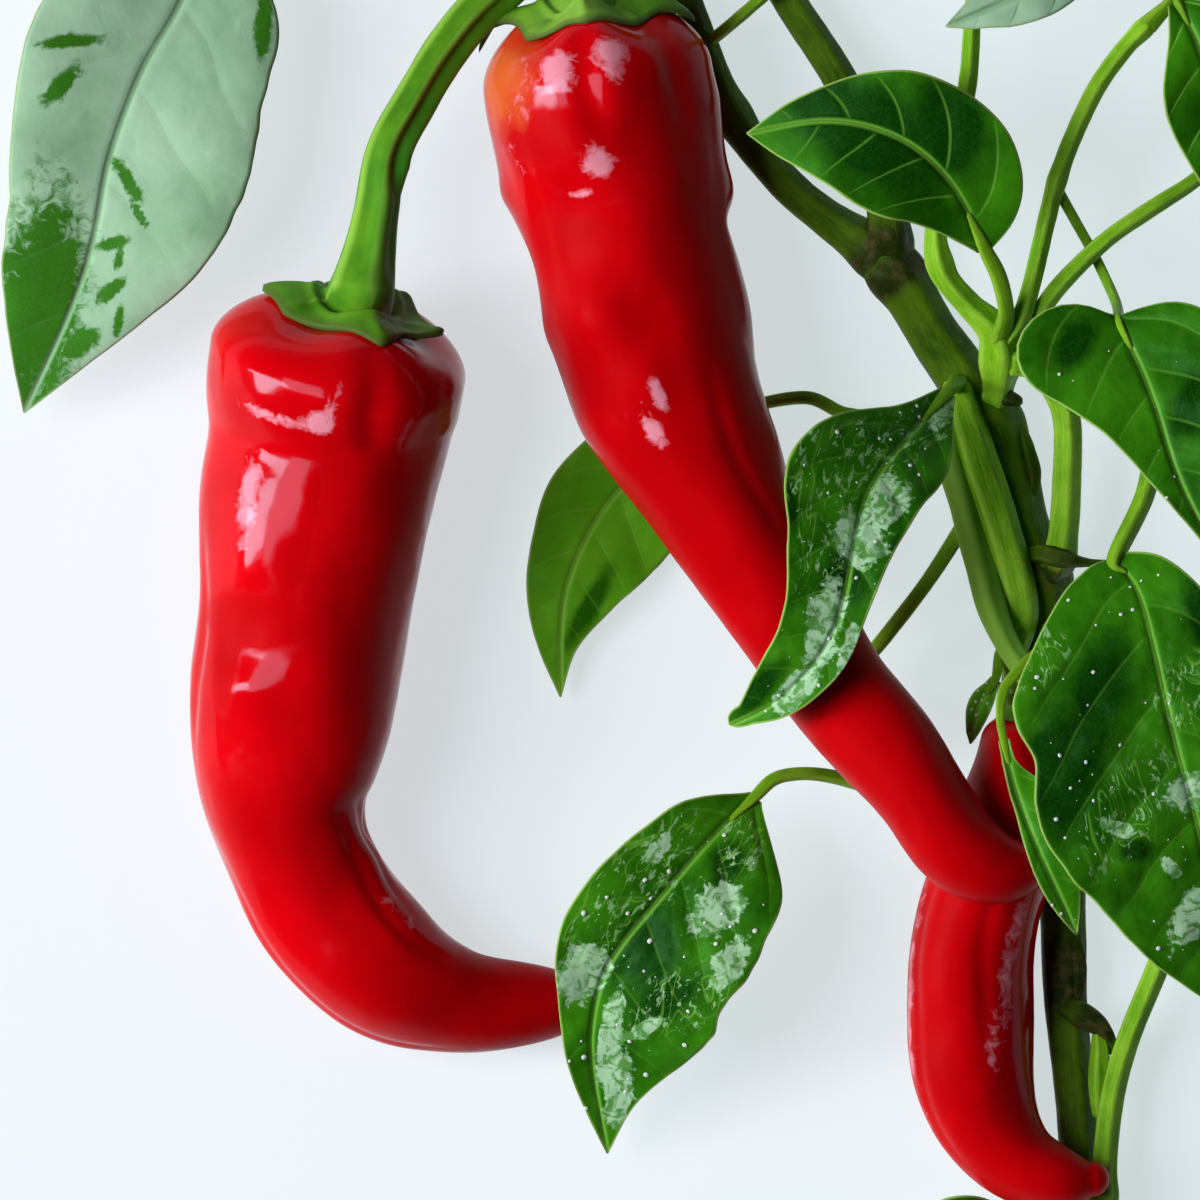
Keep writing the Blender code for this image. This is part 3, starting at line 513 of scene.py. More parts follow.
# calyxes and their stalks
calyxLook = dict(sides=110, step=0.5, pathStep=0.25, underRows=5, rows=18, rimThickness=0.55,
                 hubThickness=1.1, ribHeight=0.5, ledge=0.45, gap=0.1, ridges=5, ridgeDepth=0.055,
                 flangeTurn=178, flangeWidth=20, flangeStart=14, flangeRamp=4, grooveTurn=-42, groove=0.45,
                 flankFar=9, flankLength=13, tuck=0.985, crumple=0.25, ledgeAt=0.07, ledgeWidth=0.035,
                 hubShare=0.94, footSwell=0.7, footLength=2.5, bark=0.1)
# pale is the ribs' own paler green and also painted light on the lit side; flank is a painted light green for
# a shaded flank
calyxTones = dict(deep=(0.05, 0.175, 0.006), bright=(0.095, 0.26, 0.01), pale=(0.2, 0.38, 0.045),
                  flank=(0.02, 0.4, 0.03), rim=(0.055, 0.06, 0.018))
# a lobe is (turn, reach, width in degrees, lift of its point); pale and flank are (turn, width, how much):
# pale is painted light on the side facing the lamps, flank painted light on the stalk's shaded flank
calyxes = {
    "calyx_left": dict(
        fruit="fruit_left", base=0.46, hub=0.28, flare=1.3, pale=(-22, 48, 0.45), flank=(160, 52, 0.85),
        flange=0.95,
        lobes=[(112, 0.68, 18, 0.3), (174, 0.73, 20, 2.6), (228, 0.5, 20, 1), (292, 0.66, 22, 2),
        (-6, 0.7, 20, 0.8), (28, 0.58, 20, 0.1)],
        stalk=[(-30, 51, 20.6, 2.9), (-28.6, 60, 20, 2.6), (-25.2, 66.5, 19, 2.5), (-21, 73.5, 17.6, 2.5),
        (-15.5, 80, 16, 2.6), (-5.5, 88, 13, 2.5), (5.5, 92, 9, 2.2)]),
    "calyx_middle": dict(
        fruit="fruit_middle", base=0.62, hub=0.32, flare=0.6, pale=(70, 100, 1), flank=(165, 40, 0.4),
        lobes=[(36, 0.74, 14, 0.4), (86, 0.7, 13, 0.1), (135, 0.68, 12, 0.1), (176, 0.9, 14, 1.2),
        (235, 0.8, 20, 1), (300, 0.8, 22, 1), (-8, 1.02, 9, 5.4)],
        stalk=[(-0.6, 84.5, 13.6, 2.8), (2, 88.8, 11.2, 2.5), (5.5, 92, 8.5, 2.3)]),
    "calyx_right": dict(
        fruit="fruit_right", base=0.6, hub=0.34, flare=0.5, pale=(90, 60, 0.3), flank=(165, 40, 0.2),
        # painted light: this stalk lies in shade and is painted pale all round
        stalkPale=1,
        lobes=[(20, 0.84, 22, 0.4), (90, 0.84, 22, 0.4), (160, 0.84, 22, 0.4), (235, 0.84, 22, 0.4),
        (305, 0.84, 22, 0.4)],
        stalk=[(57.2, -10, 16.6, 1.7), (54.6, -6.4, 15.2, 1.6), (52.4, -1.5, 12, 1.9),
        (50.8, 5, 8.4, 2.1), (49.1, 12, 7.4, 2.2), (47.2, 19, 7, 2.2), (46.8, 24.5, 6.2, 2),
        (48, 28.6, 4.2, 1.7)]),
}


def calyxColumn(calyx, turn):
    reach, lift, rib = calyx["base"], 0.0, 0.0
    for at, tip, width, tipLift in calyx["lobes"]:
        off = math.degrees(apart(turn, at))
        near = math.exp(-((abs(off) / width) ** 1.5))
        reach += (tip - calyx["base"]) * near
        lift += tipLift * near
        rib += hill(off, width * 0.32)
    return reach, lift, min(rib, 1.0)


def calyxMesh(calyx):
    look, fruit = calyxLook, fruits[calyx["fruit"]]
    turns = [math.tau * k / look["sides"] for k in range(look["sides"])]
    columns = [(turn, *calyxColumn(calyx, turn)) for turn in turns]
    rows, rims, ribs = [], [], []

    def filled(share):
        return fruit["dimple"] * hill(share, skin["dimpleWidth"])

    def near(turn, degrees, width):
        return hill(math.degrees(apart(turn, degrees)), width)

    for k in range(1, look["underRows"] + 1):               # the hidden underside, out to the rim
        out = k / look["underRows"]
        rows.append([capPoint(fruit, reach * out, turn, look["gap"] + lift * out ** 2)
                     for turn, reach, lift, _ in columns])
        rims += [float(out == 1)] * len(turns)
        ribs += [0.0] * len(turns)
    for k in range(look["rows"] + 1):                       # the face, from the rim in to the hub
        inward = k / look["rows"]
        rows.append([])
        for turn, reach, lift, rib in columns:
            share = reach * (1 - inward) * (look["tuck"] if k else 1.0) + calyx["hub"] * inward
            thick = look["rimThickness"] * (1 if k else 0.75)
            thick += (look["hubThickness"] - look["rimThickness"]) * inward
            thick += look["ribHeight"] * rib * math.sin(math.pi * min(1, 0.15 + inward))
            thick += look["crumple"] * bumps((share * 14, turn * 6, 0), 2.2, 4.0)
            thick += look["ledge"] * hill(share - calyx["hub"] - look["ledgeAt"], look["ledgeWidth"])
            rows[-1].append(capPoint(fruit, share, turn,
                                     look["gap"] + thick + lift * (1 - inward) ** 2 + filled(share)))
            # painted light: the side turned to the lamps is made paler through the rib field
            paleAt, paleWidth, paleness = calyx["pale"]
            ribs.append(max(rib * (0.4 + 0.6 * inward), paleness * near(turn, paleAt, paleWidth)))
            rims.append(hill(k, 1.6))
    flanks = [0.0] * len(rims)
    base = capPoint(fruit, 0, 0, filled(0) + look["gap"] + look["hubThickness"] + 0.8)
    firstSize = calyx["stalk"][0][3]
    path = spaced(smoothPath([(*base, firstSize), *calyx["stalk"]], look["pathStep"]), look["step"])
    total = look["step"] * (len(path) - 1)
    hubSize = fruit["axis"][0][3] * calyx["hub"]
    flankAt, flankWidth, flankShare = calyx["flank"]
    for i, (*middle, size) in enumerate(path):
        run = i * look["step"]
        _, level, upward = frameAt(path, i)
        flare = math.exp(-((run / (3.2 * calyx["flare"] + 1.6)) ** 1.3))
        wide = size + (hubSize * look["hubShare"] - firstSize) * flare
        wide += look["footSwell"] * hill(total - run, look["footLength"])
        flange = (run - look["flangeStart"]) / look["flangeRamp"]
        flange = calyx.get("flange", 0) * max(0.0, min(1.0, flange))
        rows.append([])
        for turn in turns:
            ridge = math.cos(look["ridges"] * (turn - math.radians(calyx["lobes"][0][0])))
            radius = wide * (1 + look["ridgeDepth"] * ridge * min(1, 0.3 + run / 6))
            radius += flange * near(turn, look["flangeTurn"], look["flangeWidth"])
            grooveAt = look["flangeTurn"] + look["grooveTurn"]
            radius -= look["groove"] * flange * near(turn, grooveAt, look["flangeWidth"])
            across = (radius * math.cos(turn), radius * math.sin(turn))
            radius += look["bark"] * bumps((run / 3, *across), 1.6, 2.0)
            rows[-1].append(Vector(middle) + radius * onCircle(turn, -level, upward))
            # stalkPale paints the whole stalk in the pale tone: painted light on a shaded stalk
            ribs.append(max(0.5 + 0.5 * ridge, calyx.get("stalkPale", 0)))
            # painted light on the shaded flank of the stalk
            flanks.append(flankShare * near(turn, flankAt, flankWidth)
                          * hill(run - look["flankFar"], look["flankLength"]))
    rims += [0.0] * (len(flanks) + 2 - len(rims))
    return loftMesh(rows, capPoint(fruit, 0, 0, look["gap"]), path[-1][:3],
                    {"rim": rims, "rib": ribs + [0.0, 0.5], "flank": flanks + [0.0, 0.0]})


def calyxPaint(tones):
    made, n, shader = newMaterial("calyxGreen")
    green = n.mix(n.clouds(170, 4, 0.35, 0.65), tones["deep"], tones["bright"])
    # paler ribs, and painted light where the pale side and the pale stalks are
    green = n.mix(n.spread(n.field("rib"), 0.55, 1, 0, 0.8), green, tones["pale"])
    # painted light on the stalk's shaded flank
    green = n.mix(n.field("flank"), green, tones["flank"])
    rim = n.spread(n.field("rim"), 0.3, 1, 0, 0.8)
    n.feed(shader, {
        "Base Color": n.mix(rim, green, tones["rim"]),
        "Specular IOR Level": 0.14, "Specular Tint": (0.2, 1, 0.3),
        "Roughness": n.clouds(400, 3, 0.3, 0.7, 0.42, 0.62),
        "Subsurface Weight": 0.05, "Subsurface Scale": 0.001,
        "Normal": n.bump(n.noise(1100, 4), 0.35, 0.0001)})
    return made


calyxGreen = calyxPaint(calyxTones)
for node, calyx in calyxes.items():
    addPiece(node, calyxMesh(calyx), calyxGreen)
print("calyxes: done")


# stems, boughs and shoots
def limbTree():
    # sweeps a ridged ring along the path, as wide as the path's own "girth" says, then roughens the skin
    n, given = newTree("ridgedLimb", {
        "Sides": "Int", "Ridges": "Int", "Ridge Depth": "Float", "Relief Size": "Float",
        "Relief Height": "Float", "Relief Stretch": "Float", "Seed": "Float"})
    curve = n.out("GeometryNodeMeshToCurve", {"Mesh": given["Geometry"]})
    ring = n.out("GeometryNodeCurvePrimitiveCircle", {"Resolution": given["Sides"], "Radius": 1})
    place = n.out("GeometryNodeInputPosition")
    turned = n.times(n.out("GeometryNodeSplineParameter"), math.tau)
    wave = n.math("COSINE", n.times(turned, given["Ridges"]))
    ring = n.stored(ring, "around", place, "FLOAT_VECTOR")
    ring = n.stored(ring, "rib", wave)
    wide = n.plus(1.0, n.times(wave, given["Ridge Depth"]))
    ring = n.out("GeometryNodeSetPosition", {"Geometry": ring, "Position": n.scaled(place, wide)})
    limb = n.out("GeometryNodeCurveToMesh", {
        "Curve": curve, "Profile Curve": ring, "Scale": n.named("girth"), "Fill Caps": True})
    # the relief is drawn out along the limb
    run = n.math("DIVIDE", n.named("along"), given["Relief Stretch"])
    around = n.scaled(n.named("around", "FLOAT_VECTOR"), 1.6)
    spot = n.vector("ADD", around, n.out("ShaderNodeCombineXYZ", {"Z": run}))
    spot = n.scaled(spot, n.math("DIVIDE", 1.0, given["Relief Size"]))
    cloud = n.out("ShaderNodeTexNoise", {"Vector": spot, "W": given["Seed"], "Scale": 1, "Detail": 3},
                  noise_dimensions="4D")
    height = n.times(n.math("SUBTRACT", cloud, 0.5), given["Relief Height"])
    outward = n.out("GeometryNodeInputNormal")
    limb = n.out("GeometryNodeSetPosition", {"Geometry": limb, "Offset": n.scaled(outward, height)})
    return n.ended(limb, given["Paint"])


def grown(mesh, tree, values):
    # the tree's result as a plain mesh
    holder = addObject("holder", mesh)
    modifier = holder.modifiers.new("grown", "NODES")
    modifier.node_group = tree
    for item in tree.interface.items_tree:
        if item.in_out == "INPUT" and item.name in values:
            modifier[item.identifier] = values[item.name]
    holder.update_tag()
    made = bpy.data.meshes.new_from_object(holder.evaluated_get(bpy.context.evaluated_depsgraph_get()))
    bpy.data.objects.remove(holder)
    return made


ridgedLimb = limbTree()


def pathMesh(paths, barky=()):
    points, edges, fields = [], [], {"girth": [], "along": [], "bark": []}
    for path in paths:
        edges += [(len(points) + i, len(points) + i + 1) for i in range(len(path) - 1)]
        points += [point[:3] for point in path]
        fields["girth"] += [point[3] for point in path]
        fields["along"] += lengthsAlong(path)
        fields["bark"] += [max([0.0, *(much * hill(math.dist(point[:2], spot), width)
                                       for *spot, width, much in barky)]) for point in path]
    return meshOf(points, edges, [], fields)


def limbPath(points, step, swellings=()):
    # swells at its nodes and rounds off at its far end
    path = spaced(smoothPath(points), step)
    runs = lengthsAlong(path)
    for x, y, extra, width in swellings:
        at = min(range(len(path)), key=lambda i: math.dist(path[i][:2], (x, y)))
        for point, run in zip(path, runs):
            point[3] += extra * hill(run - runs[at], width)
    for point, run in zip(path, runs):
        size, left = point[3] * 0.9, runs[-1] - run
        if left < size:
            point[3] *= max(0.06, math.sqrt(max(0.0, 1 - (1 - left / size) ** 2)))
    return path


limbLook = {
    "old": {"Sides": 40, "Ridges": 5, "Ridge Depth": 0.05, "Relief Size": 0.9, "Relief Height": 0.34},
    "shoot": {"Sides": 28, "Ridges": 5, "Ridge Depth": 0.09, "Relief Size": 0.8, "Relief Height": 0.16},
    "stalk": {"Sides": 20, "Ridges": 3, "Ridge Depth": 0.1, "Relief Size": 0.8, "Relief Height": 0.1},
}
# a path point ends in its radius; a swelling is (x, y, how much, over what length), a corky place (x, y, how
# far it spreads, how much), and a stub the path of a scar, bud or flake
limbs = {
    "main_stem": dict(
        kind="old",
        path=[(65, -92, 3, 3), (64.5, -82, 2.8, 2.8), (63.5, -66.5, 2.8, 2.7), (62.2, -53.5, 2.9, 2.9),
        (61.8, -42, 3.2, 3.1), (60.8, -27, 3.4, 3.3), (57.5, -12, 3.6, 3.5), (58.6, 1.5, 3.9, 3.8),
        (56, 10.5, 3.9, 3.8), (53.4, 21, 3.9, 3.6), (48.6, 29.5, 4, 3.7), (44.5, 35.5, 4.2, 3.5),
        (41, 41.4, 4.4, 3.4), (38.6, 44.6, 4.6, 3.4), (36.2, 46.8, 4.6, 2.9), (33, 49, 4.5, 2)],
        swellings=[(53.4, 24, 0.9, 3), (60.8, -27, 0.5, 3), (57.5, 18, 0.3, 4), (60, 3, 0.9, 3.2),
        (39.5, 43.5, 0.7, 3.5), (57, -12, 0.4, 3.5)],
        corky=[(62.2, -50, 8, 0.75), (54, 26.5, 2.6, 0.9), (39.6, 44, 3.6, 0.8), (58, 17, 4, 0.45),
        (62, 4.6, 4.5, 0.6), (66.5, -57, 3.6, 1)],
        stubs=[[(56.8, 5.8, 6.6, 0.9), (59.2, 6.2, 9.6, 1.4), (61.6, 5.6, 11.4, 1.3), (65, 5, 11, 0.6),
        (68.2, 4.9, 9.4, 0.4)], [(62.4, -54.6, 4.6, 1.6), (64.6, -55.6, 5.6, 1.8), (66.8, -57, 6, 1.4),
        (68.4, -59.4, 6, 0.8), (68.6, -61, 5.6, 0.4)], [(62.6, -42.5, 4.6, 0.5), (63.6, -45.5, 5, 1),
        (64, -50, 4.8, 1.2), (63.6, -54, 4.8, 0.7)], [(52.6, 27.3, 6.4, 1.1), (54.4, 27.1, 8.3, 1.1),
        (56.5, 26.3, 8, 0.7)], [(55.8, 24, 5, 0.6), (57, 21, 6, 0.9), (57.9, 17.5, 6.2, 1.1),
        (57.9, 15, 5.8, 0.9), (57.2, 12.6, 5, 0.5)]]),
    "left_bough": dict(
        kind="old",
        path=[(44.5, 35.5, 4.2, 2.2), (41, 41.4, 4.4, 3), (36.2, 46.8, 4.6, 3.1), (29.8, 51.4, 4.5, 2.5),
        (24.5, 56, 4.2, 2.4), (18.4, 63.6, 3.8, 2.4), (15.8, 69, 3.8, 2.1), (13.5, 75, 4.2, 2),
        (11, 82, 5.2, 1.9), (8.2, 88, 6.8, 2), (5, 93, 8, 2.4)],
        swellings=[(36.5, 46.5, 0.5, 3), (17.5, 65, 0.45, 2.4), (6, 91.5, 1, 3)],
        corky=[(36.5, 46.8, 3, 0.7)],
        stubs=[[(38.4, 50.2, 5, 1.2), (37.6, 52.6, 6.6, 0.9), (37, 54, 7, 0.4)]]),
    "right_bough": dict(
        kind="old",
        path=[(40.6, 42.5, 4.6, 2.4), (38.6, 47, 5.2, 3), (38.2, 52, 7.5, 2.6), (35.6, 60, 8, 2.4),
        (32, 69.5, 7, 2.3), (25.3, 80, 5.5, 2.2), (20.5, 88, 4.8, 2), (17.8, 95, 4.8, 1.6)],
        swellings=[(38.4, 48, 0.5, 3), (35.5, 60.5, 0.35, 2.5), (20.5, 88, 0.3, 2)],
        corky=[(38.4, 48.5, 3.4, 0.9)]),
    "bough_twig": dict(
        kind="shoot",
        path=[(12.6, 72.4, 4, 0.8), (13.8, 74, 4.2, 0.8), (17.5, 77, 7.5, 0.8), (22, 80.8, 10.6, 0.8),
        (27, 85, 12, 0.7)]),
    "upper_shoot": dict(
        kind="shoot",
        path=[(52.4, 19.5, 3.4, 1.2), (52.4, 22.5, 4, 1.8), (52.6, 25.5, 5, 2), (53.4, 31.5, 11, 2.1),
        (52.6, 36, 14, 2.2), (49.2, 39.4, 15.2, 1.7), (45.6, 44, 16.2, 1.6), (44.8, 50.5, 17, 1.4),
        (47.2, 60, 17.2, 1.3), (49, 69, 17.2, 1.2), (49.6, 77.5, 16.6, 1.1), (50, 86, 16.4, 1)],
        swellings=[(53.2, 32.5, 0.9, 3.2), (50, 85, 0.5, 1.6), (45.2, 45, 0.3, 2)]),
    "curved_shoot": dict(
        kind="shoot",
        path=[(53.6, 34, 13.6, 1.5), (56, 37.5, 15.2, 1.3), (57.8, 43.5, 16.4, 1.2),
        (61, 56.5, 18.2, 1.2), (65.4, 67, 19.8, 1.2), (69.4, 73, 20.6, 1.2), (73.4, 77.2, 21, 1.1)],
        swellings=[(60.8, 56, 0.15, 1.6), (72.5, 76, 0.25, 1.8)]),
    "right_shoot": dict(
        kind="shoot",
        path=[(54, 33, 12.6, 1.4), (57.5, 37, 13.6, 1.2), (61.6, 42.4, 15.2, 1.2), (67.4, 48, 16.4, 1.1),
        (73.4, 52.2, 15.6, 1.1), (79, 55.8, 13.8, 1), (84, 60, 12, 0.9)],
        swellings=[(83, 59.5, 0.4, 1.4)]),
    "pale_shoot": dict(
        kind="shoot",
        path=[(57.6, -6, 3, 1.2), (58.2, -2, 4, 1.8), (59, 2.5, 5, 2.1), (61.4, 6.5, 9, 2),
        (62.2, 16, 11.2, 1.9), (62, 25, 12.2, 1.8), (58.6, 30.4, 12.6, 1.6), (54, 32.6, 12.4, 1.6)],
        swellings=[(54.6, 32.4, 0.8, 2.2), (60.6, 5.5, 0.5, 2.2)],
        corky=[(60.4, 3, 3.4, 1)]),
    "front_strand": dict(
        kind="shoot",
        path=[(56.6, -12.5, 4.5, 1.6), (55, -8, 9, 1.8), (56.2, -1, 9.4, 2.3), (53.7, 9.5, 9.2, 2.4),
        (50.6, 19, 9, 2.4), (48.6, 25.5, 7.6, 2.1), (47.4, 30, 4, 1.6)],
        swellings=[(47, 27.5, 0.5, 2.2)]),
    "lower_shoot": dict(
        kind="shoot",
        path=[(65, -87.5, 4, 1.8), (67, -81, 6.4, 1.7), (67.6, -73, 6.4, 1.6), (68.6, -65.5, 6.4, 1.6),
        (70.8, -58, 7, 1.5), (74.6, -48.5, 9.4, 1.5), (78.6, -38, 11.6, 1.3)],
        swellings=[(67.6, -80, 0.4, 2), (78, -40, 0.4, 1.6)],
        stubs=[[(66.4, -56.5, 5.6, 0.5), (66.9, -60, 6.2, 1.2), (66.8, -64.5, 6.2, 1.4),
        (66.9, -69.5, 6, 0.9)]]),
}


def sweptMesh(paths, kind, paint, seed, corky=()):
    values = {**limbLook[kind], "Relief Stretch": 3.5, "Seed": seed, "Paint": paint}
    return outwards(grown(pathMesh(paths, corky), ridgedLimb, values), 0.0005)


def stemPaint(name, dark, light, streak, scar, roughness):
    made, n, shader = newMaterial(name)
    run = n.math("DIVIDE", n.field("along"), 14.0)
    drawnOut = n.vector("ADD", n.field("around", "Vector"), n.out("ShaderNodeCombineXYZ", {"Z": run}))
    lines = n.noise(5.5, 4, 0.65, vector=drawnOut)
    tone = n.mix(n.clouds(150, 3, 0.38, 0.62), dark, light)
    tone = n.mix(n.spread(lines, 0.5, 0.72, 0, 0.45), tone, streak)
    tone = n.mix(n.spread(n.field("rib"), 0, 1, 0, 0.35), tone, streak)
    tone = n.mix(n.spread(n.noise(95, 5, 0.7), 0.6, 0.7, 0, 0.7), tone, scar)
    cork = n.mix(n.spread(n.noise(420, 4, 0.7), 0.45, 0.65), *corkTones)
    corked = n.spread(n.plus(n.field("bark"), lines, 0.6), 0.62, 0.95, 0, 0.92)
    fine = n.bump(n.noise(1300, 4), 0.3, 0.0001)
    n.feed(shader, {
        "Base Color": n.mix(corked, tone, cork),
        "Roughness": n.spread(lines, 0.3, 0.7, roughness - 0.08, roughness + 0.12),
        "Specular IOR Level": 0.11, "Specular Tint": (0.5, 0.95, 0.3), "Subsurface Weight": 0.04,
        "Subsurface Scale": 0.001, "Normal": n.bump(lines, 0.6, 0.0003, fine)})
    return made


corkTones = ((0.012, 0.018, 0.003), (0.085, 0.062, 0.026))
stemTones = {
    "old": dict(name="oldStem", dark=(0.024, 0.066, 0.001), light=(0.064, 0.142, 0.003),
                streak=(0.13, 0.24, 0.01), scar=(0.09, 0.085, 0.022), roughness=0.46),
    "shoot": dict(name="youngShoot", dark=(0.11, 0.31, 0.004), light=(0.2, 0.44, 0.015),
                  streak=(0.34, 0.56, 0.07), scar=(0.16, 0.24, 0.02), roughness=0.36),
    "stalk": dict(name="leafStalk", dark=(0.08, 0.22, 0.003), light=(0.16, 0.35, 0.009),
                  streak=(0.28, 0.46, 0.05), scar=(0.11, 0.21, 0.015), roughness=0.34),
}
stemPaints = {kind: stemPaint(**tones) for kind, tones in stemTones.items()}
for seed, (node, limb) in enumerate(limbs.items()):
    kind = limb["kind"]
    paths = [limbPath(limb["path"], 0.45 if kind == "old" else 0.4, limb.get("swellings", ()))]
    paths += [limbPath(points, 0.3) for points in limb.get("stubs", ())]
    mesh = sweptMesh(paths, kind, stemPaints[kind], seed * 3.7, limb.get("corky", ()))
    addPiece(node, mesh, stemPaints[kind])
print("stems and shoots: done")


# leaves
# what holds for every leaf that doesn't say otherwise: gap is between side veins, fan sweeps each half back
# at its base, blunt is where the tip starts to round off
leafLook = dict(step=0.6, smallStep=0.4, easing=14, turning=500, smallTurning=20, smallLength=22, halves=28,
                fewestHalves=10, halfStep=0.55, thickness=0.34, fold=0.16, tipWidth=0.12, midribDepth=0.32,
                midribWidth=0.55, veinDepth=0.13, veinWidth=0.5, slant=0.62, bend=0.3, quilt=0.26,
                crumple=0.22, wave=0.55, waveLength=13, curl=0, blunt=1, veins=1, fan=(0, 0), fanLength=0.13,
                baseSwell=0.25, baseWidth=1.6, sway=0.12, jagged=((0, 0.018, 3.4), (9, 0.02, 8)), wet=False,
                shaded=(), glare=(), film=())
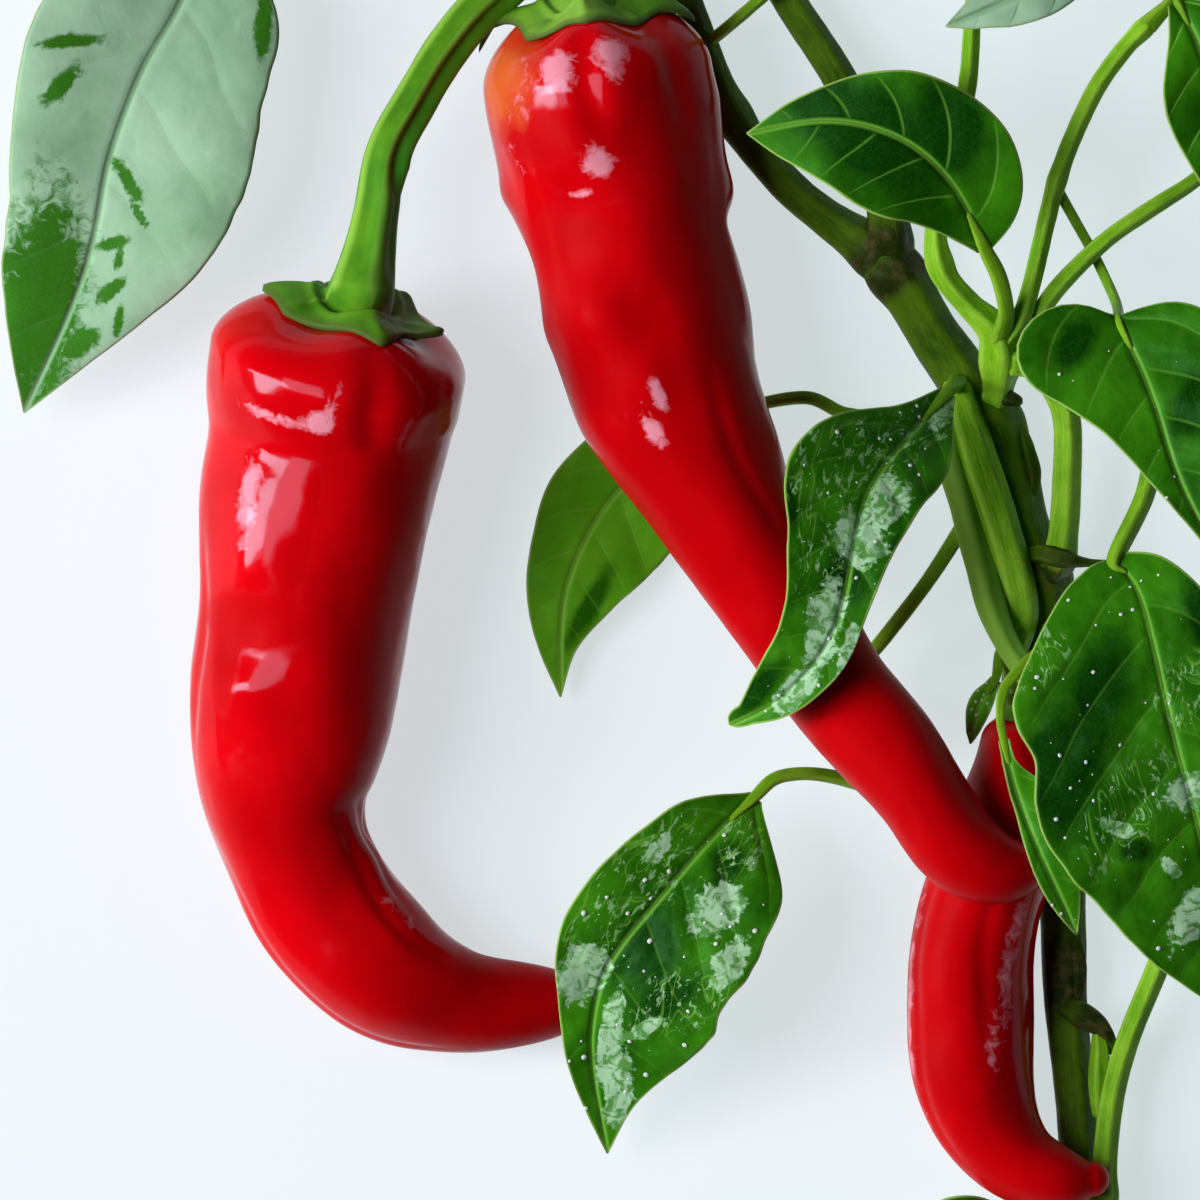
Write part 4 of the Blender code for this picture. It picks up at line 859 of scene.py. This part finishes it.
# a rib point is a place; left and right are half widths from base to tip, in even steps, seen from the base;
# a shaded, glare (painted reflection) or filmed patch is (x, y, half length, half width, degrees its length
# turns from across)
leaves = {
    "leaf_top_left": dict(
        shade="pale", gap=13, wave=0.35, quilt=0.1, crumple=0.08, curl=1.2, veins=0.15,
        rib=[(-52, 92, 13), (-55.6, 80, 15), (-61, 70.8, 16.5), (-65.7, 58, 17), (-67, 50, 16.5),
        (-70, 40, 14), (-77, 25, 7)],
        left=(12, 15.5, 18, 18.5, 15.5, 9.5, 4.5), right=(13, 16, 15.5, 13.5, 12, 10.5, 6),
        stalk=[(5.5, 92.5, 9, 1.3), (-2, 98, 12, 1.1), (-20, 101, 14, 1), (-40, 98, 13.5, 1),
        (-52, 92, 13, 0.9)],
        shaded=[(-75.5, 38.5, 18, 7, 80), (-70.7, 74.4, 4.4, 1, 5), (-71.7, 68.7, 4, 1.4, 50),
        (-44.8, 77, 6, 1.3, 85), (-63, 56, 3.8, 1, -58), (-61.6, 51.6, 2.8, 0.6, -60),
        (-65.2, 47.5, 2.6, 0.9, 15), (-64.2, 45.2, 1.8, 0.6, 80), (-65.2, 41.3, 2.8, 1, 40),
        (-64.2, 37.1, 2.6, 0.6, 80), (-69.6, 34.1, 3.4, 1.8, 35)]),
    "leaf_behind_middle": dict(
        shade="young", stalkKind="shoot", fold=0, gap=6.5, wave=0.3, quilt=0.2, veins=0.4,
        rib=[(19, 25.5, 3), (10.5, 21.5, 2.6), (1.3, 13.3, 2.6), (-4.7, 1.3, 4.5), (-5.3, -13, 3)],
        left=(7, 9.5, 10.5, 10.5, 9, 6, 2), right=(4.5, 7, 8, 8, 6.5, 5, 3),
        stalk=[(46, 27, 4.5, 1), (40, 24.6, 4.6, 0.9), (33, 24.8, 4.4, 0.9), (27.5, 27, 4, 0.9),
        (19, 25.5, 3, 0.8)],
        shaded=[(-1.5, -1, 8, 1.6, 60)]),
    "leaf_front_middle": dict(
        shade="dark", wet=True, gap=6.5, wave=0.25, quilt=0.28, crumple=0.3, blunt=0.95, veins=0.35,
        rib=[(46.4, 27.7, 15), (40.7, 21.3, 23.5), (35.6, 14.7, 29.5), (33.3, 5.3, 33), (31, -4.7, 33.5),
        (24, -13.2, 31.5), (17.2, -16.6, 27.5)],
        left=(5, 7.5, 7, 5, 3.5, 3.5, 2.5), right=(3.5, 9, 11.5, 9.5, 8, 6.5, 4.5),
        stalk=[(48, 29.2, 5.5, 1.2), (47.4, 28.6, 11, 1), (46.4, 27.7, 15, 0.9)],
        shaded=[(32, 2.5, 4, 5, 0), (24.5, 12, 6, 2.4, 80), (21, -12, 6, 2, 50), (40, 7.2, 2.4, 1.8, 0)],
        glare=[(38.2, 12.6, 4.4, 3, 55), (34.2, 8.2, 4.8, 3.4, -45), (29.6, -3.5, 7.5, 2.6, 78),
        (26, -12, 5, 2, 45), (33, -6.5, 5, 1.2, 75), (46, 25, 4, 1.6, 50)],
        film=[(32, 18.5, 9, 5, 12), (43, 23.5, 6, 3.4, 50), (30, 8, 4, 6, 0)]),
    "leaf_low_centre": dict(
        shade="dark", wet=True, gap=7.5, wave=0.35, quilt=0.28, crumple=0.3, veins=0.3,
        rib=[(20.7, -26.3, 14.5), (15, -31.5, 16.8), (8.5, -39.2, 17.8), (3.6, -45, 17.4),
        (0.3, -50, 16.4), (-1.3, -60, 13), (1, -74, 7)],
        left=(11.5, 14.5, 16, 16, 16, 12.5, 5), right=(6, 8, 9, 8, 5, 3.5, 2),
        stalk=[(60.8, -26.5, 3.6, 1.1), (51, -27, 3.2, 1), (42.5, -27.6, 6, 1), (34.7, -24.6, 10, 1),
        (28.5, -23.3, 12.4, 0.9), (23.6, -23.8, 13.8, 0.9), (20.7, -26.3, 14.5, 0.8)],
        shaded=[(6.5, -46.5, 7, 5.5, 60), (9, -53, 6, 3, 30), (17, -35, 4, 3, 60)],
        glare=[(15.2, -41.5, 5.2, 3.6, 35), (17.5, -48, 4.4, 2.2, 60), (-2, -49.5, 4.6, 3.6, 70),
        (8, -33, 3, 1.4, 55), (1.5, -57.5, 7.5, 1.7, 80), (2.5, -66, 6, 2.2, 85), (6, -57, 3, 1.2, 30)],
        film=[(5.5, -36.5, 9, 4.2, 45), (-1.5, -44, 6, 4, 70), (12, -53, 7, 4, 30), (19, -33, 4, 3, 60)]),
    "leaf_over_fork": dict(
        shade="dark", gap=7.5, wave=0.3, quilt=0.16, crumple=0.1, veins=0.7, fan=(0, 30),
        rib=[(51.1, 46.8, 24), (47.3, 54.7, 27), (40.7, 61, 28.5), (30.7, 63.8, 28), (19.5, 62, 24.5)],
        left=(4.5, 7.5, 10, 10.5, 9.5, 7.5, 4.5), right=(7.5, 10, 10, 9, 7, 4.5, 2.5),
        stalk=[(53.2, 35, 14.5, 1.3), (54, 38.5, 18, 1.1), (53, 43, 21.5, 1.1), (51.1, 46.8, 24, 0.9)],
        shaded=[(36, 62, 14, 9, -15), (46, 63, 9, 7, -50), (30, 66, 8, 5, 0)]),
    "leaf_top": dict(
        shade="pale", gap=6, wave=0.25, quilt=0.15,
        rib=[(66.7, 85.3, 20.5), (57.3, 81, 22.5), (46, 76.3, 21)],
        left=(2.5, 3.5, 4, 4, 3.5, 2.5, 1.5), right=(3, 4.5, 5, 5, 4.5, 3, 1.5),
        stalk=[(50, 85, 16.5, 1), (51, 90.5, 17, 0.9), (58, 93.5, 19, 0.8), (65, 91, 20.5, 0.8),
        (66.7, 85.3, 20.5, 0.7)]),
    "leaf_top_right": dict(
        shade="dark", gap=6.5, wave=0.45, quilt=0.3,
        rib=[(76.6, 79.8, 21.3), (79.6, 74, 24), (82.5, 62.5, 24.5), (85.5, 48.5, 20)],
        left=(6, 8, 9, 8.5, 7, 5, 2.5), right=(3, 5, 6.5, 6.5, 5.5, 4, 2),
        stalk=[(72.8, 76.6, 21, 1.1), (75.2, 78.8, 21.2, 1), (76.6, 79.8, 21.3, 0.9)]),
    "leaf_right": dict(
        shade="dark", wet=True, gap=7.5, wave=0.35, quilt=0.24, veins=0.45, fan=(25, 60),
        rib=[(68.7, 37.3, 25), (71.9, 30.7, 28), (74, 25, 30), (76.7, 16, 32), (83, 3.7, 33)],
        left=(10, 13, 13.5, 12.5, 11.5, 9, 5), right=(15, 11.5, 8, 5.5, 3.5, 2, 1),
        stalk=[(61, 54.8, 17.4, 0.6), (63.4, 50.6, 15.2, 0.7), (65.8, 46.4, 13.8, 0.7),
        (67.6, 42.6, 15, 0.7), (68.7, 39.8, 18.8, 0.7), (69, 38.2, 22, 0.7), (68.9, 37, 24.9, 0.7)],
        shaded=[(63, 34, 5, 3, 60), (79, 26, 7, 4, 60)]),
    "leaf_big_right": dict(
        shade="dark", wet=True, fold=0.05, gap=8.5, wave=0.4, quilt=0.4, crumple=0.34, veins=0.3,
        fan=(70, 40),
        rib=[(68.3, 5.1, 27.5), (71.1, 2.5, 30), (73.4, -6.3, 34.5), (76.1, -18.5, 36), (80, -33.3, 34),
        (83.3, -55, 24)],
        left=(7, 10.5, 12, 12.5, 10.5, 8, 5), right=(12.5, 20, 19, 20.5, 18, 13.5, 8),
        stalk=[(56, 32.5, 14, 1.6), (62.5, 31, 16, 1.4), (69, 27.8, 19, 1.3), (73.2, 22, 21.5, 1.3),
        (72.6, 14.5, 24, 1.3), (68.3, 5.1, 27.5, 1.1)],
        shaded=[(61, -22, 13, 8, 65), (66, -12, 8, 5, 80), (80, -2, 8, 3, 100), (71, -33, 3, 2, 0)],
        glare=[(79, -25, 5, 2.8, 10), (68.6, -30.2, 2.8, 1.2, -20), (75.6, -35.5, 1.8, 1, -50),
        (78.5, -42, 5.4, 2.8, 60)],
        film=[(70, -27, 8, 4, 60), (58, -8, 5, 3, 60), (78, -12, 5, 4, 60)]),
    "leaf_narrow": dict(
        shade="dark", wet=True, gap=5, wave=0.3, quilt=0.15, veins=0.4,
        rib=[(53.6, -18.6, 25.5), (54.8, -24, 27.8), (57.4, -31.5, 30.5), (60.6, -38.5, 30.5),
        (63.3, -44.5, 28)],
        left=(1.2, 3.5, 4.5, 4.8, 4.5, 3.5, 2), right=(0.7, 0.9, 1.1, 1.5, 1.8, 1.8, 1.2),
        stalk=[(58.8, -3.5, 4.5, 1), (60.2, -4.5, 10.5, 0.9), (59.6, -6, 17.5, 0.9),
        (56.6, -8.6, 21.5, 0.8), (53.8, -11.8, 23.2, 0.7), (53.2, -15.4, 24.4, 0.6),
        (53.6, -18.6, 25.5, 0.5)]),
    "leaf_by_stem": dict(
        shade="young", wet=True, gap=3, wave=1.5, quilt=0.3, crumple=0.9,
        rib=[(52.8, -10.6, 13), (50.6, -14.2, 14), (49.4, -19.2, 13)],
        left=(1, 1.4, 1.6, 1.6, 1.4, 1.1, 0.7),
        stalk=[(55, -4.8, 9.3, 0.8), (53.4, -7.2, 11, 0.7), (52.8, -10.6, 13, 0.6)]),
    "leaf_lower_right": dict(
        shade="dark", gap=5,
        rib=[(79.6, -34, 12.4), (82, -27, 13.5), (84.5, -19, 13), (86, -11, 11)],
        left=(2.5, 4, 5, 5, 4.5, 3, 1.5),
        stalk=[(78.4, -38.4, 11.6, 1.2), (79.6, -34, 12.4, 0.8)]),
    "leaf_bottom": dict(
        shade="dark", gap=5,
        rib=[(59, -86, 4.5), (53, -85, 6.5), (45, -85.5, 7), (36, -89, 4)],
        left=(2.5, 4, 5, 5, 4.5, 3, 1.5), right=(2.5, 4.5, 5.5, 5.5, 4.5, 3, 1.5),
        stalk=[(64.8, -88.5, 3.2, 1), (62, -87.5, 4, 0.9), (59, -86, 4.5, 0.7)]),
    "leaf_under_middle": dict(
        shade="young", stalkKind="shoot", fold=0, gap=4.5, wave=0.3, quilt=0.12,
        rib=[(34.6, -9.4, 5.4), (34.4, -12.6, 5.6), (37.4, -17.4, 6), (42.2, -22, 6.6)],
        left=(1.5, 2.5, 3, 3, 2.6, 1.8, 1),
        stalk=[(49.4, 11, 6.4, 0.9), (44, 2.6, 6, 1), (38.2, -5, 5.4, 1), (34.6, -9.4, 5.4, 0.8)]),
    "leaf_right_shoot": dict(
        shade="dark", gap=5.5,
        rib=[(84.6, 60.6, 12), (88.5, 66, 13.5), (91, 73, 13.5), (92, 82, 10.5)],
        left=(3, 5, 6, 6, 5, 3.5, 1.5),
        stalk=[(83.6, 59.6, 12, 0.9), (84.6, 60.6, 12, 0.8)]),
    "leaf_left_bough": dict(
        shade="young", gap=5.5,
        rib=[(27.6, 85.6, 12.2), (32.5, 90.5, 13), (37, 98, 12.5), (39.5, 107, 9.5)],
        left=(3, 5, 6.5, 6.5, 5.5, 3.5, 1.5),
        stalk=[(26.6, 84.6, 12, 0.7), (27.6, 85.6, 12.2, 0.6)]),
    "leaf_right_bough": dict(
        shade="dark", gap=7,
        rib=[(16.6, 98, 5.2), (14.5, 106, 8), (14, 116, 9), (17, 127, 6)],
        left=(5, 8, 9.5, 9.5, 8, 5.5, 2.5),
        stalk=[(18.2, 93.6, 4.8, 1.4), (16.6, 98, 5.2, 0.9)]),
}


def bladeGrid(look, seed):
    # the upper face as rows of points from base to tip, and the numbers that the paint reads at each
    rib = spaced(smoothPath(look["rib"]), 1.0)
    small = lengthsAlong(rib)[-1] <= look["smallLength"]
    rib = spaced(rib if small else eased(rib, look["easing"]), look["smallStep" if small else "step"])
    aim = eased(rib, look["smallTurning" if small else "turning"])
    step = math.dist(rib[0], rib[1])
    sides = [[look["stalk"][-1][3] + 0.2, *look[side], look["tipWidth"]]
             for side in ("left", "right" if "right" in look else "left")]
    widest = max(*sides[0], *sides[1])
    halves = max(look["fewestHalves"], min(look["halves"], round(widest / look["halfStep"])))
    wave = look["wave"] * min(1.0, widest / 9)
    gap, blunt = look["gap"], look["blunt"]
    rows, places, veins = [], [], []
    fields = {name: [] for name in ("phase", "gap", "fade", "brink", "edge")}
    for i, point in enumerate(rib):
        share, run = i / (len(rib) - 1), i * step
        along, level, upward = frameAt(aim, i)
        fade = math.sin(math.pi * min(1, 0.08 + share)) ** 0.5
        rows.append([])
        for k in range(-halves, halves + 1):
            out = math.copysign(abs(k / halves) ** 1.1, k) if k else 0.0
            side = 0 if out < 0 else 1
            half = max(look["tipWidth"], blendOf(sides[side], min(share, blunt)))
            if share > blunt:
                half *= math.sqrt(max(0.02, 1 - ((share - blunt) / (1 - blunt)) ** 2))
            width = abs(out) * half
            # side veins leave the midrib at a slant and bend on towards the tip
            phase = (run - look["slant"] * width - look["bend"] * width * abs(out)) / gap
            phase += 0.5 * side + look["sway"] * bumps((run, width, side * 30), 9, seed)
            part = phase - math.floor(phase)
            fadeVein = min(1, width / 1.5) * (1 - abs(out) ** 6) * (1 - share ** 4)
            sideVein = hill(min(part, 1 - part) * gap, look["veinWidth"] * (1.25 - 0.6 * abs(out))) * fadeVein
            midrib = hill(width, look["midribWidth"] * (1.25 - 0.9 * share)) * (1 - share ** 5)
            height = look["fold"] * width
            height += look["quilt"] * math.sin(math.pi * part) * min(1, width / 3) * (1 - out ** 4) * fade
            height -= look["veinDepth"] * sideVein + look["midribDepth"] * midrib
            height += look["baseSwell"] * hill(width, look["baseWidth"]) * (1 - share)
            turn = math.tau * run / look["waveLength"] + 2.1 * side + seed
            height += wave * abs(out) ** 2.5 * math.sin(turn) * fade
            for shift, size, much in ((0, 4.2, 1), (5, 1.9, 0.4)):
                rough = bumps((run, width * (2 * side - 1), shift), size, seed)
                height += much * look["crumple"] * rough * min(1, width / 2)
            height -= look["curl"] * abs(out) ** 5 * fade
            wobble = 1
            for shift, much, size in look["jagged"]:
                wobble += much * bumps((run, side * 20, shift), size, seed)
            swing = math.radians(look["fan"][side]) * hill(share, look["fanLength"])
            across = math.copysign(math.cos(swing), out) * level - math.sin(swing) * along
            rows[-1].append(Vector(point) + width * wobble * across + height * upward)
            veins.append(max(midrib, 0.75 * sideVein))
            places += [run, math.copysign(width, out), 0.0]
            values = (phase + 20, gap, fadeVein * look["veins"], (1 - abs(out)) * half, abs(out))
            for name, value in zip(fields, values):
                fields[name].append(value)
    return rows, fields, places, veins


def patchShare(point, patches):
    share = 0.0
    for x, y, length, width, degrees in patches:
        turn = math.radians(degrees)
        dx, dy = point[0] - x, point[1] - y
        ahead, beside = dx * math.cos(turn) + dy * math.sin(turn), dy * math.cos(turn) - dx * math.sin(turn)
        share = max(share, hill(math.hypot(ahead / length, beside / width), 1.0))
    return share


def bladeMesh(look, seed):
    # the upper face, then the underside with its ribs standing proud, closed round the margin
    rows, fields, places, veins = bladeGrid(look, seed)
    high, wide = len(rows), len(rows[0])
    top = [point for row in rows for point in row]
    under = []
    for i, row in enumerate(rows):
        for k, point in enumerate(row):
            along = rows[min(i + 1, high - 1)][k] - rows[max(i - 1, 0)][k]
            across = row[min(k + 1, wide - 1)] - row[max(k - 1, 0)]
            edge, vein = (values[len(under)] for values in (fields["edge"], veins))
            thick = look["thickness"] * (1 - 0.55 * edge ** 8) + 0.55 * vein
            under.append(point - thick * across.cross(along).normalized())
    count = len(top)
    faces = []
    for i in range(high - 1):
        for a in range(i * wide, (i + 1) * wide - 1):
            faces.append((a, a + 1, a + 1 + wide, a + wide))
            faces.append((count + a, count + a + wide, count + a + 1 + wide, count + a + 1))
    rim = [*range(wide), *range(2 * wide - 1, count, wide), *range(count - 2, count - wide - 1, -1),
           *range(count - 2 * wide, 0, -wide)]
    faces += [(a, b, count + b, count + a) for a, b in zip(rim, rim[1:] + rim[:1])]
    for name in ("shaded", "glare", "film"):
        fields[name] = [patchShare(point, look[name]) for point in top]
    fields = {name: values * 2 for name, values in fields.items()}
    mesh = meshOf(top + under, [], faces, {**fields, "under": [0.0] * count + [1.0] * count})
    mesh.attributes.new("leafPlace", "FLOAT_VECTOR", "POINT").data.foreach_set("vector", places * 2)
    return outwards(mesh)


def leafPaint(name, wet, deep, bright, shaded, glare, vein, rimTone, under, roughness, ragged, verge):
    made, n, shader = newMaterial(name)
    flat = n.field("leafPlace", "Vector")
    tone = n.mix(n.clouds(75, 4, 0.36, 0.64), deep, bright)
    tone = n.mix(n.clouds(420, 3, 0.35, 0.7, 0, 0.18), tone, bright)
    # patches that are deeper than the rest, with uneven edges
    uneven = n.times(n.noise(260, 4), 0.5)
    uneven = n.plus(uneven, n.noise(560, 4, 0.65, 1), ragged)
    reach = n.plus(n.field("shaded"), uneven)
    tone = n.mix(n.spread(reach, *verge), tone, shaded)
    # the fine net between the veins
    net = n.out("ShaderNodeTexVoronoi", {"Vector": flat, "Scale": 1.3}, "Distance",
                feature="DISTANCE_TO_EDGE")
    netLine = n.spread(net, 0, 0.09, 0.055, 0)
    tone = n.mix(netLine, tone, vein)
    # side veins lie where the phase is whole, and the midrib where the place across is nought
    offRib = n.math("ABSOLUTE", n.axis(flat, "Y"))
    offVein = n.times(n.math("PINGPONG", n.field("phase"), 0.5), n.field("gap"))
    sideLine = n.times(n.spread(offVein, 0.05, 0.34, 0.8, 0), n.field("fade"))
    lines = n.math("MAXIMUM", sideLine, n.spread(offRib, 0.25, 0.6, 0.8, 0))
    tone = n.mix(lines, tone, vein)
    tone = n.mix(n.spread(offRib, 0.02, 0.16, 0.55, 0), tone, deep)      # the midrib's dark middle
    tone = n.mix(n.spread(n.field("brink"), 0.1, 0.36, 0.85, 0), tone, rimTone)
    # painted reflections: pale ragged glare patches with holes, and fine lines and dashes of painted glints
    # where a film of water lies
    frayed = n.times(n.noise(300, 4, 0.6, 1), 1.1)
    frayed = n.plus(frayed, n.noise(1100, 3, 0.6, 0.6), 0.45)
    glarePatch = n.spread(n.plus(n.field("glare"), frayed), 1.2, 1.3, 0, 0.9)
    holes = n.spread(n.noise(560, 4, 0.65, 0.8), 0.46, 0.58, 0, 0.85)
    tone = n.mix(glarePatch, tone, n.mix(holes, glare, bright))
    # painted glints: fine pale lines and dashes where a film of water lies
    pooled = n.spread(n.plus(n.field("film"), n.noise(200, 3)), 0.7, 0.95)
    drawnOut = n.vector("MULTIPLY", flat, (0.45, 1, 1))
    contours = n.times(n.noise(0.16, 1, 0.5, 0.8, drawnOut), 9)
    glintLines = n.spread(n.math("PINGPONG", contours, 0.5), 0.02, 0.09, 0.55, 0)
    tone = n.mix(n.times(glintLines, pooled), tone, vein)
    glintDashes = n.spread(n.noise(1.1, 4, 0.6, 1, drawnOut), 0.57, 0.64, 0, 0.8)
    glints = n.times(glintDashes, pooled)
    tone = n.mix(glints, tone, n.mix(0.5, vein, glare))
    # glossy in the painted glare and glints, waxy elsewhere
    dry = n.clouds(300, 3, 0.3, 0.7, roughness - 0.06, roughness + 0.1)
    gloss = n.out("ShaderNodeMix", {0: n.math("MAXIMUM", glarePatch, glints), 2: dry, 3: 0.16}, data_type="FLOAT")
    fine = n.bump(n.math("SUBTRACT", netLine, lines), 0.4, 0.00018)
    fine = n.bump(n.noise(700, 3), 0.25, 0.00012, fine)
    film = n.noise(150, 3, 0.5, 1)
    n.feed(shader, {
        "Base Color": n.mix(n.field("under"), tone, under), "Roughness": gloss,
        "Normal": n.bump(film, 0.4 if wet else 0.2, 0.0008, fine),
        "Specular IOR Level": 0.1, "Specular Tint": (0.35, 0.95, 0.35),
        "Subsurface Weight": 0.05, "Subsurface Scale": 0.0008})
    return made


# ragged and verge say how uneven a shaded patch's edge is, and where it starts and is full
leafTones = {
    "dark": dict(deep=(0.008, 0.075, 0.001), bright=(0.034, 0.185, 0.003), shaded=(0.002, 0.035, 0.0008),
                 glare=(0.33, 0.53, 0.32), vein=(0.12, 0.32, 0.03), rimTone=(0.27, 0.42, 0.09),
                 under=(0.1, 0.25, 0.04), roughness=0.38, ragged=0, verge=(0.52, 1.02)),
    "young": dict(deep=(0.058, 0.245, 0.005), bright=(0.108, 0.36, 0.011), shaded=(0.012, 0.09, 0.001),
                  glare=(0.22, 0.43, 0.1), vein=(0.16, 0.38, 0.035), rimTone=(0.26, 0.4, 0.1),
                  under=(0.15, 0.33, 0.05), roughness=0.34, ragged=0.3, verge=(0.66, 1.14)),
    # the pale leaves' mint tones are a painted sheen, the reflection of a bright sky over a green leaf
    "pale": dict(deep=(0.18, 0.33, 0.19), bright=(0.28, 0.44, 0.29), shaded=(0.026, 0.13, 0.006),
                 glare=(0.5, 0.68, 0.52), vein=(0.17, 0.31, 0.16), rimTone=(0.2, 0.29, 0.12),
                 under=(0.2, 0.38, 0.16), roughness=0.42, ragged=1.1, verge=(1.12, 1.4)),
}
leafPaints, leafPieces = {}, {}
for seed, (node, leaf) in enumerate(leaves.items()):
    look = {**leafLook, **leaf}
    paintName = look["shade"] + ("WetLeaf" if look["wet"] else "Leaf")
    if paintName not in leafPaints:
        leafPaints[paintName] = leafPaint(paintName, look["wet"], **leafTones[look["shade"]])
    leafPieces[node] = addPiece(node, bladeMesh(look, (seed + 1) * 5.3), leafPaints[paintName])
    # the stalk runs on a little way inside the midrib
    points = [list(point) for point in look["stalk"]]
    points.append([*(a + (b - a) * 0.6 for a, b in zip(*look["rib"][:2])), 0.3])
    points[0][3] *= 1.25
    paint = stemPaints[look.get("stalkKind", "stalk")]
    mesh = sweptMesh([limbPath(points, 0.4)], "stalk", paint, seed * 2.9)
    addPiece(node, mesh, paint, "Stalk")
print("leaves: done")


# drops of water on the wet leaves
def dropTree():
    # scatters low domes over the upper face, kept off the margin
    n, given = newTree("dewDrops", {
        "Density": "Float", "Gap": "Float", "Small": "Float", "Large": "Float", "Seed": "Int"})
    inside = n.times(n.math("LESS_THAN", n.named("under"), 0.5), n.math("LESS_THAN", n.named("edge"), 0.9))
    points = n.add("GeometryNodeDistributePointsOnFaces", {}, distribute_method="POISSON")
    n.feed(points, {"Mesh": given["Geometry"], "Distance Min": given["Gap"], "Seed": given["Seed"],
                    "Density Max": given["Density"], "Density Factor": inside})
    drop = n.out("GeometryNodeMeshUVSphere", {"Segments": 14, "Rings": 7, "Radius": 1})
    drop = n.out("GeometryNodeTransform", {
        "Geometry": drop, "Scale": (1, 0.86, 0.5), "Translation": (0, 0, 0.14)})
    size = n.out("FunctionNodeRandomValue", {"Seed": given["Seed"]}, 1, data_type="FLOAT")
    span = n.math("SUBTRACT", given["Large"], given["Small"])
    scale = n.plus(given["Small"], n.math("POWER", size, 2.2), span)
    placed = n.out("GeometryNodeInstanceOnPoints", {
        "Points": points.outputs["Points"], "Instance": drop, "Rotation": points.outputs["Rotation"],
        "Scale": scale})
    return n.ended(placed, given["Paint"])


def waterPaint():
    made, n, shader = newMaterial("water")
    n.feed(shader, {
        "Base Color": n.mix(n.noise(300, 2), (0.9, 0.97, 0.93), (0.97, 1, 0.98)),
        "Roughness": 0.02, "IOR": 1.33, "Transmission Weight": 0.45})
    return made


dewDrops = dropTree()
water = waterPaint()
# how many to a square metre, the least gap, and the smallest and largest radius, in metres
dropSets = {
    "leaf_front_middle": (110000, 0.0012, 0.00008, 0.00034),
    "leaf_low_centre": (80000, 0.0014, 0.00008, 0.00042),
    "leaf_big_right": (70000, 0.0015, 0.00008, 0.0004),
    "leaf_right": (35000, 0.002, 0.00008, 0.00032),
    "leaf_by_stem": (600000, 0.0007, 0.00018, 0.0005),
    "leaf_narrow": (60000, 0.0015, 0.00008, 0.0003),
}
for seed, (node, (density, gap, small, large)) in enumerate(dropSets.items()):
    values = {"Density": float(density), "Gap": gap, "Small": small, "Large": large, "Seed": seed + 3,
              "Paint": water}
    drops = grown(leafPieces[node].data.copy(), dewDrops, values)
    addPiece(node, drops, water, "Drops", grownOn=True)
print("drops of water: done")
